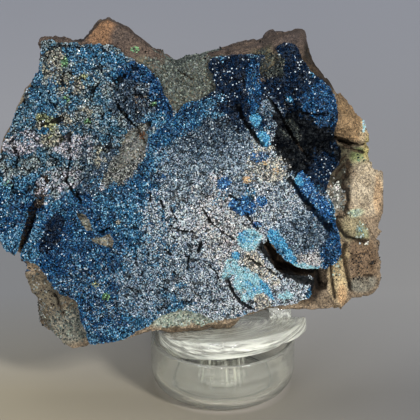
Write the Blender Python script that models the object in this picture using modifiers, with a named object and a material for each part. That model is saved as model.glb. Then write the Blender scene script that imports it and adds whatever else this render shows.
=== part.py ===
"""A cornetite specimen in its small clear stand.

A leaning slab of tan and brown matrix carries a blue druse on its face. It rests on the
half-round ledge of the stand's head and leans on two prongs. The head's plug sits loosely
in the mouth of a round cup. Lengths below are in millimetres, angles in degrees.
"""
import math

import bmesh
import bpy
import numpy as np
from mathutils import Matrix, Vector, noise

MM = 0.001
CLEAR = 0.3

# The cup of the stand, a turned shape on the Z axis
CUP_RADIUS = 16.4
CUP_HEIGHT = 12.6
CUP_WALL = 1.1
FOOT_RADIUS = 12.7
HEEL_HEIGHT = 5.2
FLOOR_THICKNESS = 1.4
FLOOR_RADIUS = 11.8
BOSS_RADIUS = 5.1
BOSS_FOOT_RADIUS = 5.5
BOSS_HEIGHT = 8.1
RIM_ROUNDING = 0.3
CUP_STEPS = 36
HEEL_STEPS = 4

# The head of the stand, in its own axes: its origin is the middle of the ledge's straight edge
HEAD_PLACE = (2.1, 0.0, 15.3)
HEAD_TILT = 12.5
HEAD_ROLL = 5.5
LEDGE_RADIUS = 16.8
LEDGE_THICKNESS = 2.8
LEDGE_STEPS = 22
PLUG_RADIUS = 13.9
PLUG_CENTRE = (-1.8, 0.8)
PLUG_TOP = 2.4
PLUG_BOTTOM = 5.0
BAR_FRONT = -1.0
BAR_DEPTH = 4.0
BAR_TOP = 1.0
BAR_BOTTOM = 2.55
PRONG_SPREAD = 11.1
PRONG_WIDTH = 5.0
PRONG_THICKNESS = 2.5
PRONG_HEIGHT = 24.0
PRONG_FRONT = 0.8
PRONG_ROOT = -2.0
EDGE_ROUNDING = 0.35
SEAT_SIZE = 60.0
SEAT_HEIGHT = 20.0
SMOOTH_ANGLE = 35.0

# The slab, in its own axes: U to the right, W up its face, N out of its face
SLAB_PLACE = (0.0, -9.0, 20.1)
SLAB_LEAN = 17.0
SLAB_CENTRE = (-7.0, 30.0)
LATTICE_CELL = 3.6
LATTICE_START = (-57.6, -14.4)
LATTICE_CELLS = (28, 25)
JITTER = 1.5
FINE_JITTER = 0.7
JITTER_GRAIN = 2.3
JITTER_SLICES = (17.0, 41.0)
CUT_FRONT = 16.0
CUT_BACK = -24.0

# The face: it steps back left of a seam, rounds off at its top and falls away past its crest
SEAM_POINT = (-10.0, 46.0)
SEAM_NORMAL = (-0.573, 0.82)
SEAM_WIDTH = (-1.0, 1.6)
SEAM_SPAN = (7.0, 13.0)
PANEL_DROP = 2.6
PANEL_SLOPE = 0.10
PANEL_SLOPE_START = 12.0
BROW_START = 47.0
BROW_BEND = 0.012
CREST = (
    (-23.5, 61.6), (-10.0, 54.6), (-6.0, 59.5), (7.0, 59.5), (14.0, 62.1), (16.0, 62.1), (36.0, 36.1),
)
CREST_MARGIN = 0.5
CREST_SLOPE = 0.95
RIGHT_EDGE = 25.5
RIGHT_SLOPE = 0.72
TOE_EDGE = 9.0
TOE_SLOPE = 0.16
TOE_SPAN = (27.0, 33.0)
FACE_FLOOR = -8.4
FACE_ROUGHNESS = 0.5
FACE_GRAIN = 7.0
FACE_SLICE = 3.1

# The crust on the face, and the clumps of crystals on it
CRUST_THICKNESS = 0.9
CLUMP_HEIGHT = 0.9
CLUMP_SIZE = 3.4
CLUMP_REACH = 0.6
PEBBLE_HEIGHT = 0.25
PEBBLE_SIZE = 1.9
COARSE_GAIN = 0.7
COARSE_SPAN = (10.0, 26.0)
LEVEL_ENOUGH = (0.5, 0.9)

# The back: flat where it leans on the prongs, swelling above and beside them
PRONG_ZONE_DEPTH = -10.0
PRONG_ZONE_MIDDLE = 2.0
PRONG_ZONE_SIDE = (19.0, 25.0)
PRONG_ZONE_TOP = (27.0, 33.0)
BACK_DEPTH = -12.5
BACK_TOP_SWELL = 3.0
BACK_TOP_SPAN = (38.0, 54.0)
BACK_RIGHT_SWELL = 1.0
BACK_RIGHT_SPAN = (0.0, 20.0)
BACK_ROUGHNESS = 0.8
BACK_GRAIN = 11.0
BACK_SLICE = 9.7

# Broken flats of the bare rock: their size across, slope, step and how much the back and side have
CHIP_SIZE = 12.0
CHIP_SLOPE = 0.55
CHIP_STEP = 2.4
CHIP_SLICES = (11.3, 23.9, 37.1)
SIDE_CHIPS = 0.55
SIDE_CHIP_SPAN = (25.8, 28.0)

# Depths at which the slab's walls change, and how far they draw in, swell or drop there
WALL_DEPTHS = (9.0, -2.5, -6.5, -11.0, -24.0)
WALL_ROUGHNESS = (0.0, 0.0, 0.5, 0.9, 1.2)
WALL_GRAIN = (4.0, 5.0)
WALL_TAPER = (0.0, 0.0, 0.0, 0.01, 0.09)
TAPER_END = (50.0, 58.0)
WALL_SWELL = (0.0, 0.0, 0.6, 1.0, 1.2)
FOOT_DROP = (0.0, 0.4, 2.9, 2.9, 2.0)
FOOT_LEFT = (-15.0, -11.0)
FOOT_RIGHT = (1.0, 5.0)
FOOT_TOP = (0.0, 6.0)

# Where the walls swell behind the face: centre, reach and push
WALL_SWELLINGS = (
    ((8.0, 61.0), 12.0, (0.2, 1.4)),
    ((18.0, 60.0), 8.0, (1.2, 1.2)),
    ((-39.5, -0.5), 7.0, (-3.6, -0.8)),
)

# The outline of the whole rock, from its top left corner to the right
ROCK_OUTLINE = (
    (-40.9, 62.7), (-36.0, 62.2), (-31.6, 61.6), (-27.7, 66.1), (-25.9, 67.2), (-22.0, 65.0),
    (-16.2, 60.6), (-10.4, 56.6), (-8.4, 57.8), (-4.0, 58.8), (3.8, 59.8), (9.1, 60.7),
    (11.8, 62.2), (16.6, 62.4), (17.9, 59.2), (19.9, 56.0), (22.0, 54.4), (24.7, 51.7),
    (28.4, 48.1), (30.7, 43.6), (32.6, 39.0), (33.6, 34.3), (36.0, 32.0), (35.9, 23.2),
    (34.9, 15.3), (35.2, 8.0), (33.3, 5.8), (28.7, 5.3), (25.3, 3.0), (21.3, 2.6),
    (16.0, 3.0), (10.5, 2.9), (6.0, 1.3), (1.1, -0.2), (-4.0, -0.8), (-9.6, -1.2),
    (-16.4, -2.0), (-22.0, -4.3), (-31.0, -5.9), (-33.3, -7.0), (-35.4, -5.6), (-36.8, -3.7),
    (-38.3, -1.0), (-40.6, 4.0), (-42.5, 6.5), (-43.8, 9.9), (-43.8, 12.9), (-47.3, 15.2),
    (-50.0, 17.7), (-51.2, 21.3), (-51.8, 27.0), (-51.3, 32.6), (-49.9, 38.2), (-47.6, 43.2),
    (-45.8, 47.7), (-43.5, 52.1), (-41.3, 55.7), (-40.9, 58.8),
)

# The outline of the blue crust, in the same order
CRUST_OUTLINE = (
    (-40.4, 62.3), (-36.0, 61.8), (-29.8, 61.3), (-24.5, 61.6), (-22.7, 59.4), (-18.3, 57.2),
    (-14.4, 54.3), (-13.3, 51.0), (-11.7, 47.6), (-10.0, 46.4), (-8.2, 49.0), (-5.1, 49.6),
    (-1.3, 52.1), (-2.2, 55.2), (-3.3, 57.4), (-2.2, 58.9), (8.6, 59.8), (9.5, 58.7),
    (7.7, 56.5), (8.6, 54.7), (9.9, 56.1), (12.6, 58.3), (11.6, 61.2), (13.7, 62.2),
    (16.1, 61.6), (17.5, 58.7), (19.3, 55.8), (21.7, 54.1), (24.2, 51.8), (25.0, 49.0),
    (25.3, 45.4), (24.6, 42.7), (24.4, 40.9), (26.2, 38.3), (26.0, 35.6), (23.8, 32.9),
    (22.7, 29.8), (24.3, 26.4), (25.0, 22.6), (26.3, 17.4), (25.7, 14.4), (23.4, 12.2),
    (22.6, 9.8), (20.2, 8.2), (19.5, 5.6), (15.0, 4.2), (10.1, 3.9), (8.8, 3.1),
    (5.2, 2.0), (1.6, 0.8), (-1.5, 0.4), (-5.1, 2.2), (-9.6, 3.1), (-14.1, 1.5),
    (-16.3, -0.7), (-19.7, -2.1), (-22.6, -3.9), (-29.8, -5.2), (-30.6, -1.4), (-32.0, 0.8),
    (-32.2, 4.3), (-33.7, 5.4), (-36.4, 6.5), (-38.2, 8.3), (-39.3, 10.8), (-41.7, 13.4),
    (-43.9, 14.2), (-47.0, 15.6), (-49.6, 18.2), (-50.8, 21.6), (-51.3, 27.0), (-50.8, 32.6),
    (-49.4, 38.2), (-47.1, 43.2), (-45.3, 47.7), (-43.0, 52.1), (-40.9, 55.8), (-40.4, 58.8),
)

# Places inside the crust where the matrix shows
TAN_PATCH = (
    (-21.0, 42.7), (-17.7, 43.2), (-16.4, 41.6), (-17.1, 38.9), (-18.9, 36.9), (-21.1, 35.1),
    (-24.4, 33.2), (-23.3, 36.5), (-22.6, 39.8),
)
UPPER_BEIGE_PATCH = (
    (-33.0, 24.8), (-31.0, 24.6), (-29.4, 22.8), (-29.0, 20.4), (-30.4, 20.2), (-31.4, 22.4),
)
LOWER_BEIGE_PATCH = (
    (-29.8, 19.0), (-27.0, 19.3), (-25.2, 20.3), (-23.9, 18.6), (-24.3, 16.2), (-26.2, 17.0),
    (-28.6, 17.4),
)
PATCHES = (
    ("tan_patch", TAN_PATCH),
    ("upper_beige_patch", UPPER_BEIGE_PATCH),
    ("lower_beige_patch", LOWER_BEIGE_PATCH),
)

# Clefts: outline, depth of the floor, and how far the floor runs under one side
UNDERCUT = (
    (8.6, 18.8), (10.5, 15.6), (13.9, 12.4), (18.3, 10.6), (21.9, 10.2), (21.4, 4.9),
    (19.2, 4.9), (18.8, 8.2), (13.9, 8.8), (10.1, 10.1), (9.2, 13.5), (7.8, 16.2),
)
LEFT_CLEFT = (
    (-41.4, 27.2), (-40.2, 25.0), (-41.1, 22.3), (-42.3, 19.1), (-43.9, 15.9), (-45.0, 11.5),
    (-46.6, 12.5), (-45.4, 16.2), (-43.9, 21.0), (-42.9, 25.0),
)
RIGHT_CRACK = ((24.0, 41.0), (28.2, 39.9), (35.0, 39.3), (35.0, 38.3), (28.2, 38.9), (24.0, 40.2))
CRUST_CLEFTS = (
    ("lobe_undercut", UNDERCUT, -6.5, (2.2, 2.8)),
    ("left_cleft", LEFT_CLEFT, -8.0, (-0.8, 0.4)),
)
MATRIX_CLEFTS = (
    ("right_crack", RIGHT_CRACK, -8.0, (0.0, 0.3)),
)

# Swellings and hollows of the face: centre, half lengths, turn and height
SWELLINGS = (
    ((-2.0, 24.0), (29.0, 26.0), 20.0, 3.2),
    ((17.5, 17.4), (11.0, 7.6), -20.0, 4.4),
    ((20.5, 47.5), (7.0, 7.5), 0.0, 3.4),
    ((21.5, 38.0), (7.0, 6.6), 0.0, -7.5),
    ((14.6, 44.0), (8.0, 3.6), -55.0, -4.0),
    ((23.5, 28.5), (5.5, 5.0), 0.0, 2.2),
    ((17.0, 27.6), (8.5, 3.2), -45.0, -2.6),
    ((6.4, 45.0), (7.5, 3.0), -62.0, -1.5),
    ((10.0, 6.0), (11.0, 4.0), 0.0, 1.4),
    ((-47.5, 26.0), (7.0, 11.0), -10.0, 1.6),
    ((3.0, 56.0), (8.0, 5.0), 0.0, -1.6),
    ((-14.0, 49.0), (6.0, 7.0), 20.0, 1.6),
    ((-34.0, 54.0), (9.0, 7.0), 0.0, 1.2),
    ((-36.0, 39.0), (10.0, 6.0), 25.0, 1.2),
    ((30.0, 44.5), (5.5, 5.0), 0.0, 2.0),
    ((30.0, 36.0), (6.0, 3.6), 10.0, -2.0),
    ((31.5, 25.5), (7.0, 8.5), 0.0, 2.0),
    ((31.5, 10.5), (6.0, 6.0), 0.0, 1.2),
)


def smooth(value, low, high):
    """Rise from 0 at low to 1 at high with level ends."""
    part = min(max((value - low) / (high - low), 0.0), 1.0)
    return part * part * (3 - 2 * part)


def swelling(u, w, centre, halves, turn, height):
    """A rounded rise that fades out on its ellipse."""
    angle = math.radians(turn)
    du, dw = u - centre[0], w - centre[1]
    along = (du * math.cos(angle) + dw * math.sin(angle)) / halves[0]
    across = (dw * math.cos(angle) - du * math.sin(angle)) / halves[1]
    return height * smooth(1 - math.hypot(along, across), 0.0, 0.75)


def face_level(u, w):
    """How far the matrix's face stands out at U, W."""
    past_seam = SEAM_NORMAL[0] * (u - SEAM_POINT[0]) + SEAM_NORMAL[1] * (w - SEAM_POINT[1])
    left_panel = smooth(past_seam, *SEAM_WIDTH) * smooth(-u, *SEAM_SPAN)
    crest = float(np.interp(u, *zip(*CREST)))
    level = -left_panel * (PANEL_DROP + PANEL_SLOPE * max(0.0, -u - PANEL_SLOPE_START))
    level -= BROW_BEND * max(0.0, w - BROW_START) ** 2
    level -= CREST_SLOPE * max(0.0, w - crest - CREST_MARGIN)
    level -= RIGHT_SLOPE * max(0.0, u - RIGHT_EDGE)
    level -= TOE_SLOPE * max(0.0, TOE_EDGE - w) * smooth(-u, *TOE_SPAN)
    level += sum(swelling(u, w, *rise) for rise in SWELLINGS)
    rough = FACE_ROUGHNESS * noise.noise(Vector((u / FACE_GRAIN, w / FACE_GRAIN, FACE_SLICE)))
    chips = SIDE_CHIPS * smooth(u, *SIDE_CHIP_SPAN) * chipped(u, w)
    return max(level + chips, FACE_FLOOR) + rough - CLEAR - CRUST_THICKNESS


def chipped(u, w):
    """Broken rock: tilted flats, each with its own slope, that meet in small ledges."""
    distances, points = noise.voronoi(Vector((u / CHIP_SIZE, w / CHIP_SIZE, 0.0)))
    middle = points[0]
    across, along, step = (noise.noise(middle + Vector((0, 0, depth))) for depth in CHIP_SLICES)
    tilt = across * (u - middle.x * CHIP_SIZE) + along * (w - middle.y * CHIP_SIZE)
    return CHIP_SLOPE * tilt + CHIP_STEP * step


def back_level(u, w):
    """How far back the slab reaches at U, W, flat where it leans on the prongs."""
    beside_prongs = max(smooth(abs(u - PRONG_ZONE_MIDDLE), *PRONG_ZONE_SIDE), smooth(w, *PRONG_ZONE_TOP))
    depth = BACK_DEPTH + BACK_ROUGHNESS * noise.noise(Vector((u / BACK_GRAIN, w / BACK_GRAIN, BACK_SLICE)))
    depth += chipped(u, w)
    depth -= BACK_TOP_SWELL * smooth(w, *BACK_TOP_SPAN) + BACK_RIGHT_SWELL * smooth(u, *BACK_RIGHT_SPAN)
    return PRONG_ZONE_DEPTH + (depth - PRONG_ZONE_DEPTH) * beside_prongs


def clump_height(u, w):
    """Crystal clumps on the crust: raised cells with creases between them, coarser on the left."""
    near, nearest_points = noise.voronoi(Vector((u / CLUMP_SIZE, w / CLUMP_SIZE, 0.5)))
    clump = CLUMP_HEIGHT * (1 - min(near[0] / CLUMP_REACH, 1.0))
    pebble = PEBBLE_HEIGHT * (1 + noise.noise(Vector((u / PEBBLE_SIZE, w / PEBBLE_SIZE, 5.3))))
    return (1 + COARSE_GAIN * smooth(-u, *COARSE_SPAN)) * (clump + pebble)


def jitter(vert, amount):
    """Move a lattice vertex a little within the face, so that the facets are uneven."""
    u, w = vert.co.x / MM / JITTER_GRAIN, vert.co.y / MM / JITTER_GRAIN
    vert.co.x += amount * noise.noise(Vector((u, w, JITTER_SLICES[0]))) * MM
    vert.co.y += amount * noise.noise(Vector((u, w, JITTER_SLICES[1]))) * MM


def material(name, colour, roughness, transmission=0.0, alpha=1.0):
    """A plain Principled material for one piece."""
    made = bpy.data.materials.new(name)
    made.use_nodes = True
    shader = made.node_tree.nodes["Principled BSDF"]
    shader.inputs["Base Color"].default_value = (*colour, 1.0)
    shader.inputs["Roughness"].default_value = roughness
    shader.inputs["Metallic"].default_value = 0.0
    shader.inputs["Transmission Weight"].default_value = transmission
    shader.inputs["Alpha"].default_value = alpha
    return made


def add_object(name, mesh, collection, matrix=None):
    """Put a mesh in the scene under its own name and place."""
    made = bpy.data.objects.new(name, mesh)
    collection.objects.link(made)
    if matrix is not None:
        made.matrix_world = matrix
    return made


def outline_solid(name, outline, low, high, collection, matrix):
    """A flat outline given thickness from low to high along its own Z."""
    curve = bpy.data.curves.new(name, "CURVE")
    curve.dimensions = "2D"
    curve.fill_mode = "BOTH"
    curve.extrude = (high - low) / 2 * MM
    spline = curve.splines.new("POLY")
    spline.points.add(len(outline) - 1)
    for point, (x, y) in zip(spline.points, outline):
        point.co = (x * MM, y * MM, 0.0, 1.0)
    spline.use_cyclic_u = True
    drawn = add_object(name + "_outline", curve, collection)
    bpy.context.view_layer.update()
    mesh = bpy.data.meshes.new_from_object(drawn.evaluated_get(bpy.context.evaluated_depsgraph_get()))
    bpy.data.objects.remove(drawn)
    mesh.transform(Matrix.Translation((0, 0, (high + low) / 2 * MM)))
    shape = bmesh.new()
    shape.from_mesh(mesh)
    bmesh.ops.remove_doubles(shape, verts=shape.verts, dist=0.01 * MM)
    bmesh.ops.recalc_face_normals(shape, faces=shape.faces)
    shape.to_mesh(mesh)
    shape.free()
    return add_object(name, mesh, collection, matrix)


def as_cutter(cutter):
    """Mark an object as a guide that only cuts."""
    cutter.hide_render = True
    cutter.display_type = "WIRE"
    return cutter


def boolean(target, operation, cutter):
    """Add an exact Boolean of the given kind."""
    step = target.modifiers.new(operation.lower() + "_" + cutter.name, "BOOLEAN")
    step.operation = operation
    step.object = cutter
    step.solver = "EXACT"


def slab_axes():
    """The slab's axes in the world: it leans back from the upright."""
    turn = Matrix.Rotation(math.radians(90 - SLAB_LEAN), 4, "X")
    return Matrix.Translation(Vector(SLAB_PLACE) * MM) @ turn


def head_axes():
    """The head's axes in the world: its ledge tips back and its right end is high."""
    tilt = Matrix.Rotation(math.radians(-HEAD_TILT), 4, "X")
    roll = Matrix.Rotation(math.radians(-HEAD_ROLL), 4, "Y")
    return Matrix.Translation(Vector(HEAD_PLACE) * MM) @ roll @ tilt


def lattice(front_offset, back_level_at, clumps):
    """A block of the slab between its face and a back level, on one triangular lattice.

    The matrix and the crust share the lattice, so the gap between them is the same all over.
    """
    shape = bmesh.new()
    columns, rows = LATTICE_CELLS
    half = Vector((columns, rows)) * LATTICE_CELL / 2
    middle = Vector(LATTICE_START) + half
    stretch = Matrix.Diagonal((half.x * MM, half.y * MM, MM, 1.0))
    place = Matrix.Translation((middle.x * MM, middle.y * MM, 0.0)) @ stretch
    bmesh.ops.create_grid(shape, x_segments=columns, y_segments=rows, size=1.0, matrix=place)
    bmesh.ops.triangulate(shape, faces=shape.faces, quad_method="FIXED")
    for vert in shape.verts:
        jitter(vert, JITTER)
        vert.co.z = (face_level(vert.co.x / MM, vert.co.y / MM) + front_offset) * MM
    back = list(shape.verts)
    grown = bmesh.ops.extrude_face_region(shape, geom=shape.faces[:])["geom"]
    for vert in back:
        vert.co.z = back_level_at(vert.co.x / MM, vert.co.y / MM) * MM
    if clumps:
        raise_clumps(shape, grown, set(back))
    bmesh.ops.recalc_face_normals(shape, faces=shape.faces)
    mesh = bpy.data.meshes.new("lattice")
    shape.to_mesh(mesh)
    shape.free()
    return mesh


def raise_clumps(shape, front, back):
    """Lift the front by the crust's thickness, halve its cells and raise its clumps."""
    for item in front:
        if isinstance(item, bmesh.types.BMVert):
            item.co.z += CRUST_THICKNESS * MM
    edges = [item for item in front if isinstance(item, bmesh.types.BMEdge)]
    bmesh.ops.subdivide_edges(shape, edges=edges, cuts=1, use_grid_fill=True)
    bmesh.ops.recalc_face_normals(shape, faces=shape.faces)
    shape.normal_update()
    for vert in shape.verts:
        if vert not in back:
            jitter(vert, FINE_JITTER * smooth(vert.normal.z, *LEVEL_ENOUGH))
            vert.co.z += clump_height(vert.co.x / MM, vert.co.y / MM) * MM


def weather_walls(walls):
    """Draw in, roughen and swell the slab's side walls, depth by depth."""
    shape = bmesh.new()
    shape.from_mesh(walls.data)
    for depth in WALL_DEPTHS[1:-1]:
        geometry = shape.verts[:] + shape.edges[:] + shape.faces[:]
        bmesh.ops.bisect_plane(shape, geom=geometry, plane_co=(0, 0, depth * MM), plane_no=(0, 0, 1))
    for vert in shape.verts:
        u, w, depth = vert.co.x / MM, vert.co.y / MM, vert.co.z / MM
        layer = min(range(len(WALL_DEPTHS)), key=lambda index: abs(WALL_DEPTHS[index] - depth))
        out = Vector((u - SLAB_CENTRE[0], w - SLAB_CENTRE[1])).normalized()
        grain = Vector((u / WALL_GRAIN[0], w / WALL_GRAIN[0], depth / WALL_GRAIN[1]))
        push = WALL_ROUGHNESS[layer] * noise.noise(grain)
        taper = WALL_TAPER[layer] * (1 - smooth(w, *TAPER_END))
        over_seat = smooth(u, *FOOT_LEFT) * (1 - smooth(u, *FOOT_RIGHT)) * (1 - smooth(w, *FOOT_TOP))
        new_u = u + out.x * push - (u - SLAB_CENTRE[0]) * taper
        new_w = w + out.y * push - (w - SLAB_CENTRE[1]) * taper - FOOT_DROP[layer] * over_seat
        for centre, reach, swell in WALL_SWELLINGS:
            near = 1 - smooth(math.hypot(u - centre[0], w - centre[1]), 0.3 * reach, reach)
            new_u += swell[0] * near * WALL_SWELL[layer]
            new_w += swell[1] * near * WALL_SWELL[layer]
        vert.co.x, vert.co.y = new_u * MM, new_w * MM
    shape.to_mesh(walls.data)
    shape.free()


def move_to(thing, collection):
    """Take an object out of every collection and put it in this one."""
    for holder in thing.users_collection:
        holder.objects.unlink(thing)
    collection.objects.link(thing)


def seat_cutter(collection):
    """A block under the rock whose top is the ledge's top, a gap higher."""
    bpy.ops.mesh.primitive_cube_add(size=1.0)
    block = bpy.context.object
    block.name = "seat_cutter"
    block.data.transform(Matrix.Diagonal((SEAT_SIZE * MM, SEAT_SIZE * MM, SEAT_HEIGHT * MM, 1.0)))
    block.data.transform(Matrix.Translation((0, 0, (CLEAR - SEAT_HEIGHT / 2) * MM)))
    block.matrix_world = head_axes()
    move_to(block, collection)
    return as_cutter(block)


def sloped_cleft(name, outline, floor, run, collection):
    """A cleft cutter whose floor is moved sideways, so that one side overhangs it."""
    cutter = outline_solid(name, outline, floor, CUT_FRONT, collection, slab_axes())
    for vert in cutter.data.vertices:
        if vert.co.z < 0:
            vert.co.x += run[0] * MM
            vert.co.y += run[1] * MM
    return as_cutter(cutter)


def build_matrix(parts, cutters, clefts):
    """The tan and brown rock that the crust grew on."""
    walls = outline_solid("rock_walls", ROCK_OUTLINE, WALL_DEPTHS[-1], WALL_DEPTHS[0], cutters, slab_axes())
    weather_walls(as_cutter(walls))
    rock = add_object("matrix_rock", lattice(0.0, back_level, False), parts, slab_axes())
    boolean(rock, "INTERSECT", walls)
    boolean(rock, "DIFFERENCE", seat_cutter(cutters))
    for cleft in clefts:
        boolean(rock, "DIFFERENCE", cleft)
    rock.data.materials.append(material("tan matrix", (0.30, 0.22, 0.14), 0.85))


def build_crust(parts, cutters, clefts):
    """The blue crust of grown-together crystals, with the places where it is missing."""
    def crust_back(u, w):
        return face_level(u, w) + CLEAR

    crust = add_object("cornetite_crust", lattice(CLEAR, crust_back, True), parts, slab_axes())
    edge = outline_solid("crust_edge", CRUST_OUTLINE, CUT_BACK, CUT_FRONT, cutters, slab_axes())
    boolean(crust, "INTERSECT", as_cutter(edge))
    for name, outline in PATCHES:
        hole = outline_solid(name, outline, CUT_BACK, CUT_FRONT, cutters, slab_axes())
        boolean(crust, "DIFFERENCE", as_cutter(hole))
    for cleft in clefts:
        boolean(crust, "DIFFERENCE", cleft)
    crust.data.materials.append(material("blue crust", (0.02, 0.10, 0.28), 0.4))


def cup_profile():
    """The cup's half section, from the top of the boss out over the rim and in to the foot."""
    inner = CUP_RADIUS - CUP_WALL
    points = [(0.0, BOSS_HEIGHT), (BOSS_RADIUS, BOSS_HEIGHT), (BOSS_FOOT_RADIUS, FLOOR_THICKNESS)]
    for step in range(HEEL_STEPS + 1):
        angle = math.radians(90 * step / HEEL_STEPS)
        radius = FLOOR_RADIUS + (inner - FLOOR_RADIUS) * math.sin(angle)
        height = FLOOR_THICKNESS + (HEEL_HEIGHT - FLOOR_THICKNESS) * (1 - math.cos(angle))
        points.append((radius, height))
    points += [(inner, CUP_HEIGHT - RIM_ROUNDING), (inner + RIM_ROUNDING, CUP_HEIGHT)]
    points += [(CUP_RADIUS - RIM_ROUNDING, CUP_HEIGHT), (CUP_RADIUS, CUP_HEIGHT - RIM_ROUNDING)]
    for step in range(HEEL_STEPS + 1):
        angle = math.radians(90 * step / HEEL_STEPS)
        radius = FOOT_RADIUS + (CUP_RADIUS - FOOT_RADIUS) * math.cos(angle)
        points.append((radius, HEEL_HEIGHT * (1 - math.sin(angle))))
    points.append((0.0, 0.0))
    return points


def build_cup(parts):
    """The round clear cup, open upwards, with a boss in its middle."""
    profile = cup_profile()
    mesh = bpy.data.meshes.new("stand_cup")
    edges = [(index, index + 1) for index in range(len(profile) - 1)]
    mesh.from_pydata([(radius * MM, 0.0, height * MM) for radius, height in profile], edges, [])
    cup = add_object("stand_cup", mesh, parts)
    turn = cup.modifiers.new("turn", "SCREW")
    turn.steps = CUP_STEPS
    turn.render_steps = CUP_STEPS
    turn.use_merge_vertices = True
    turn.merge_threshold = 0.01 * MM
    shade_round(cup)
    cup.data.materials.append(material("clear plastic", (0.85, 0.85, 0.82), 0.08, 0.9))


def half_disc():
    """The ledge seen from above: a half circle in front of its straight edge."""
    return [
        (-LEDGE_RADIUS * math.cos(math.pi * step / LEDGE_STEPS),
         -LEDGE_RADIUS * math.sin(math.pi * step / LEDGE_STEPS))
        for step in range(LEDGE_STEPS + 1)
    ]


def prong_outline(side):
    """A prong seen from the front: a bar with a round top."""
    middle = side * PRONG_SPREAD
    half = PRONG_WIDTH / 2
    shoulder = PRONG_HEIGHT - half
    top = [
        (middle + half * math.cos(math.radians(angle)), shoulder + half * math.sin(math.radians(angle)))
        for angle in range(0, 181, 30)
    ]
    return [(middle - half, PRONG_ROOT), (middle + half, PRONG_ROOT)] + top


def round_edges(piece, width):
    """Take the piece's sharp edges off."""
    step = piece.modifiers.new("rounding", "BEVEL")
    step.width = width * MM
    step.segments = 1
    step.limit_method = "ANGLE"
    step.angle_limit = math.radians(50)


def shade_round(piece):
    """Settle the piece's modifiers into its mesh and shade its round sides smooth."""
    bpy.context.view_layer.update()
    mesh = bpy.data.meshes.new_from_object(piece.evaluated_get(bpy.context.evaluated_depsgraph_get()))
    piece.modifiers.clear()
    piece.data = mesh
    mesh.shade_smooth()
    mesh.set_sharp_from_angle(angle=math.radians(SMOOTH_ANGLE))


def build_plug(axes, cutters):
    """The round plug under the ledge, which reaches down into the cup."""
    bpy.ops.mesh.primitive_cylinder_add(vertices=CUP_STEPS, radius=PLUG_RADIUS * MM, depth=1.0)
    plug = bpy.context.object
    plug.name = "plug"
    plug.data.transform(Matrix.Diagonal((1.0, 1.0, (PLUG_BOTTOM - PLUG_TOP) * MM, 1.0)))
    middle = Vector((*PLUG_CENTRE, -(PLUG_BOTTOM + PLUG_TOP) / 2)) * MM
    plug.data.transform(Matrix.Translation(middle))
    plug.matrix_world = axes
    move_to(plug, cutters)
    return plug


def build_head(parts, cutters):
    """The head of the stand: ledge, plug, back bar and two prongs, moulded in one."""
    axes = head_axes()
    head = outline_solid("stand_head", half_disc(), -LEDGE_THICKNESS, 0.0, parts, axes)
    bar_end = PRONG_SPREAD + PRONG_WIDTH / 2
    bar_outline = ((-bar_end, BAR_FRONT), (bar_end, BAR_FRONT), (bar_end, BAR_DEPTH), (-bar_end, BAR_DEPTH))
    bar = outline_solid("back_bar", bar_outline, -BAR_BOTTOM, -BAR_TOP, cutters, axes)
    upright = Matrix.Rotation(math.radians(90 - SLAB_LEAN + HEAD_TILT), 4, "X")
    prong_axes = axes @ Matrix.Translation((0, PRONG_FRONT * MM, 0)) @ upright
    prongs = [
        outline_solid("prong", prong_outline(side), -PRONG_THICKNESS, 0.0, cutters, prong_axes)
        for side in (-1, 1)
    ]
    for piece in (build_plug(axes, cutters), bar, *prongs):
        boolean(head, "UNION", as_cutter(piece))
    round_edges(head, EDGE_ROUNDING)
    shade_round(head)
    head.data.materials.append(material("clear plastic head", (0.88, 0.87, 0.80), 0.08, 0.9))


def clear_scene():
    """Remove whatever the scene holds."""
    for thing in list(bpy.data.objects):
        bpy.data.objects.remove(thing)


def main():
    clear_scene()
    parts = bpy.data.collections.new("cornetite specimen")
    cutters = bpy.data.collections.new("cutters")
    for collection in (parts, cutters):
        bpy.context.scene.collection.children.link(collection)
    crust_clefts = [sloped_cleft(*cleft, cutters) for cleft in CRUST_CLEFTS]
    matrix_clefts = [sloped_cleft(*cleft, cutters) for cleft in MATRIX_CLEFTS]
    build_matrix(parts, cutters, crust_clefts + matrix_clefts)
    build_crust(parts, cutters, crust_clefts)
    build_cup(parts)
    build_head(parts, cutters)


main()
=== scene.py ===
"""The looks of a cornetite specimen: a slab of broken rock with a blue crystal crust, on a clear stand.

Laid out as a Blender add-on and run as a script. Lengths in the named values are millimetres, apart from the
room's, which are metres. U runs to the right along the slab, W up its face and N out of its face.
"""
import itertools
import math

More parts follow.
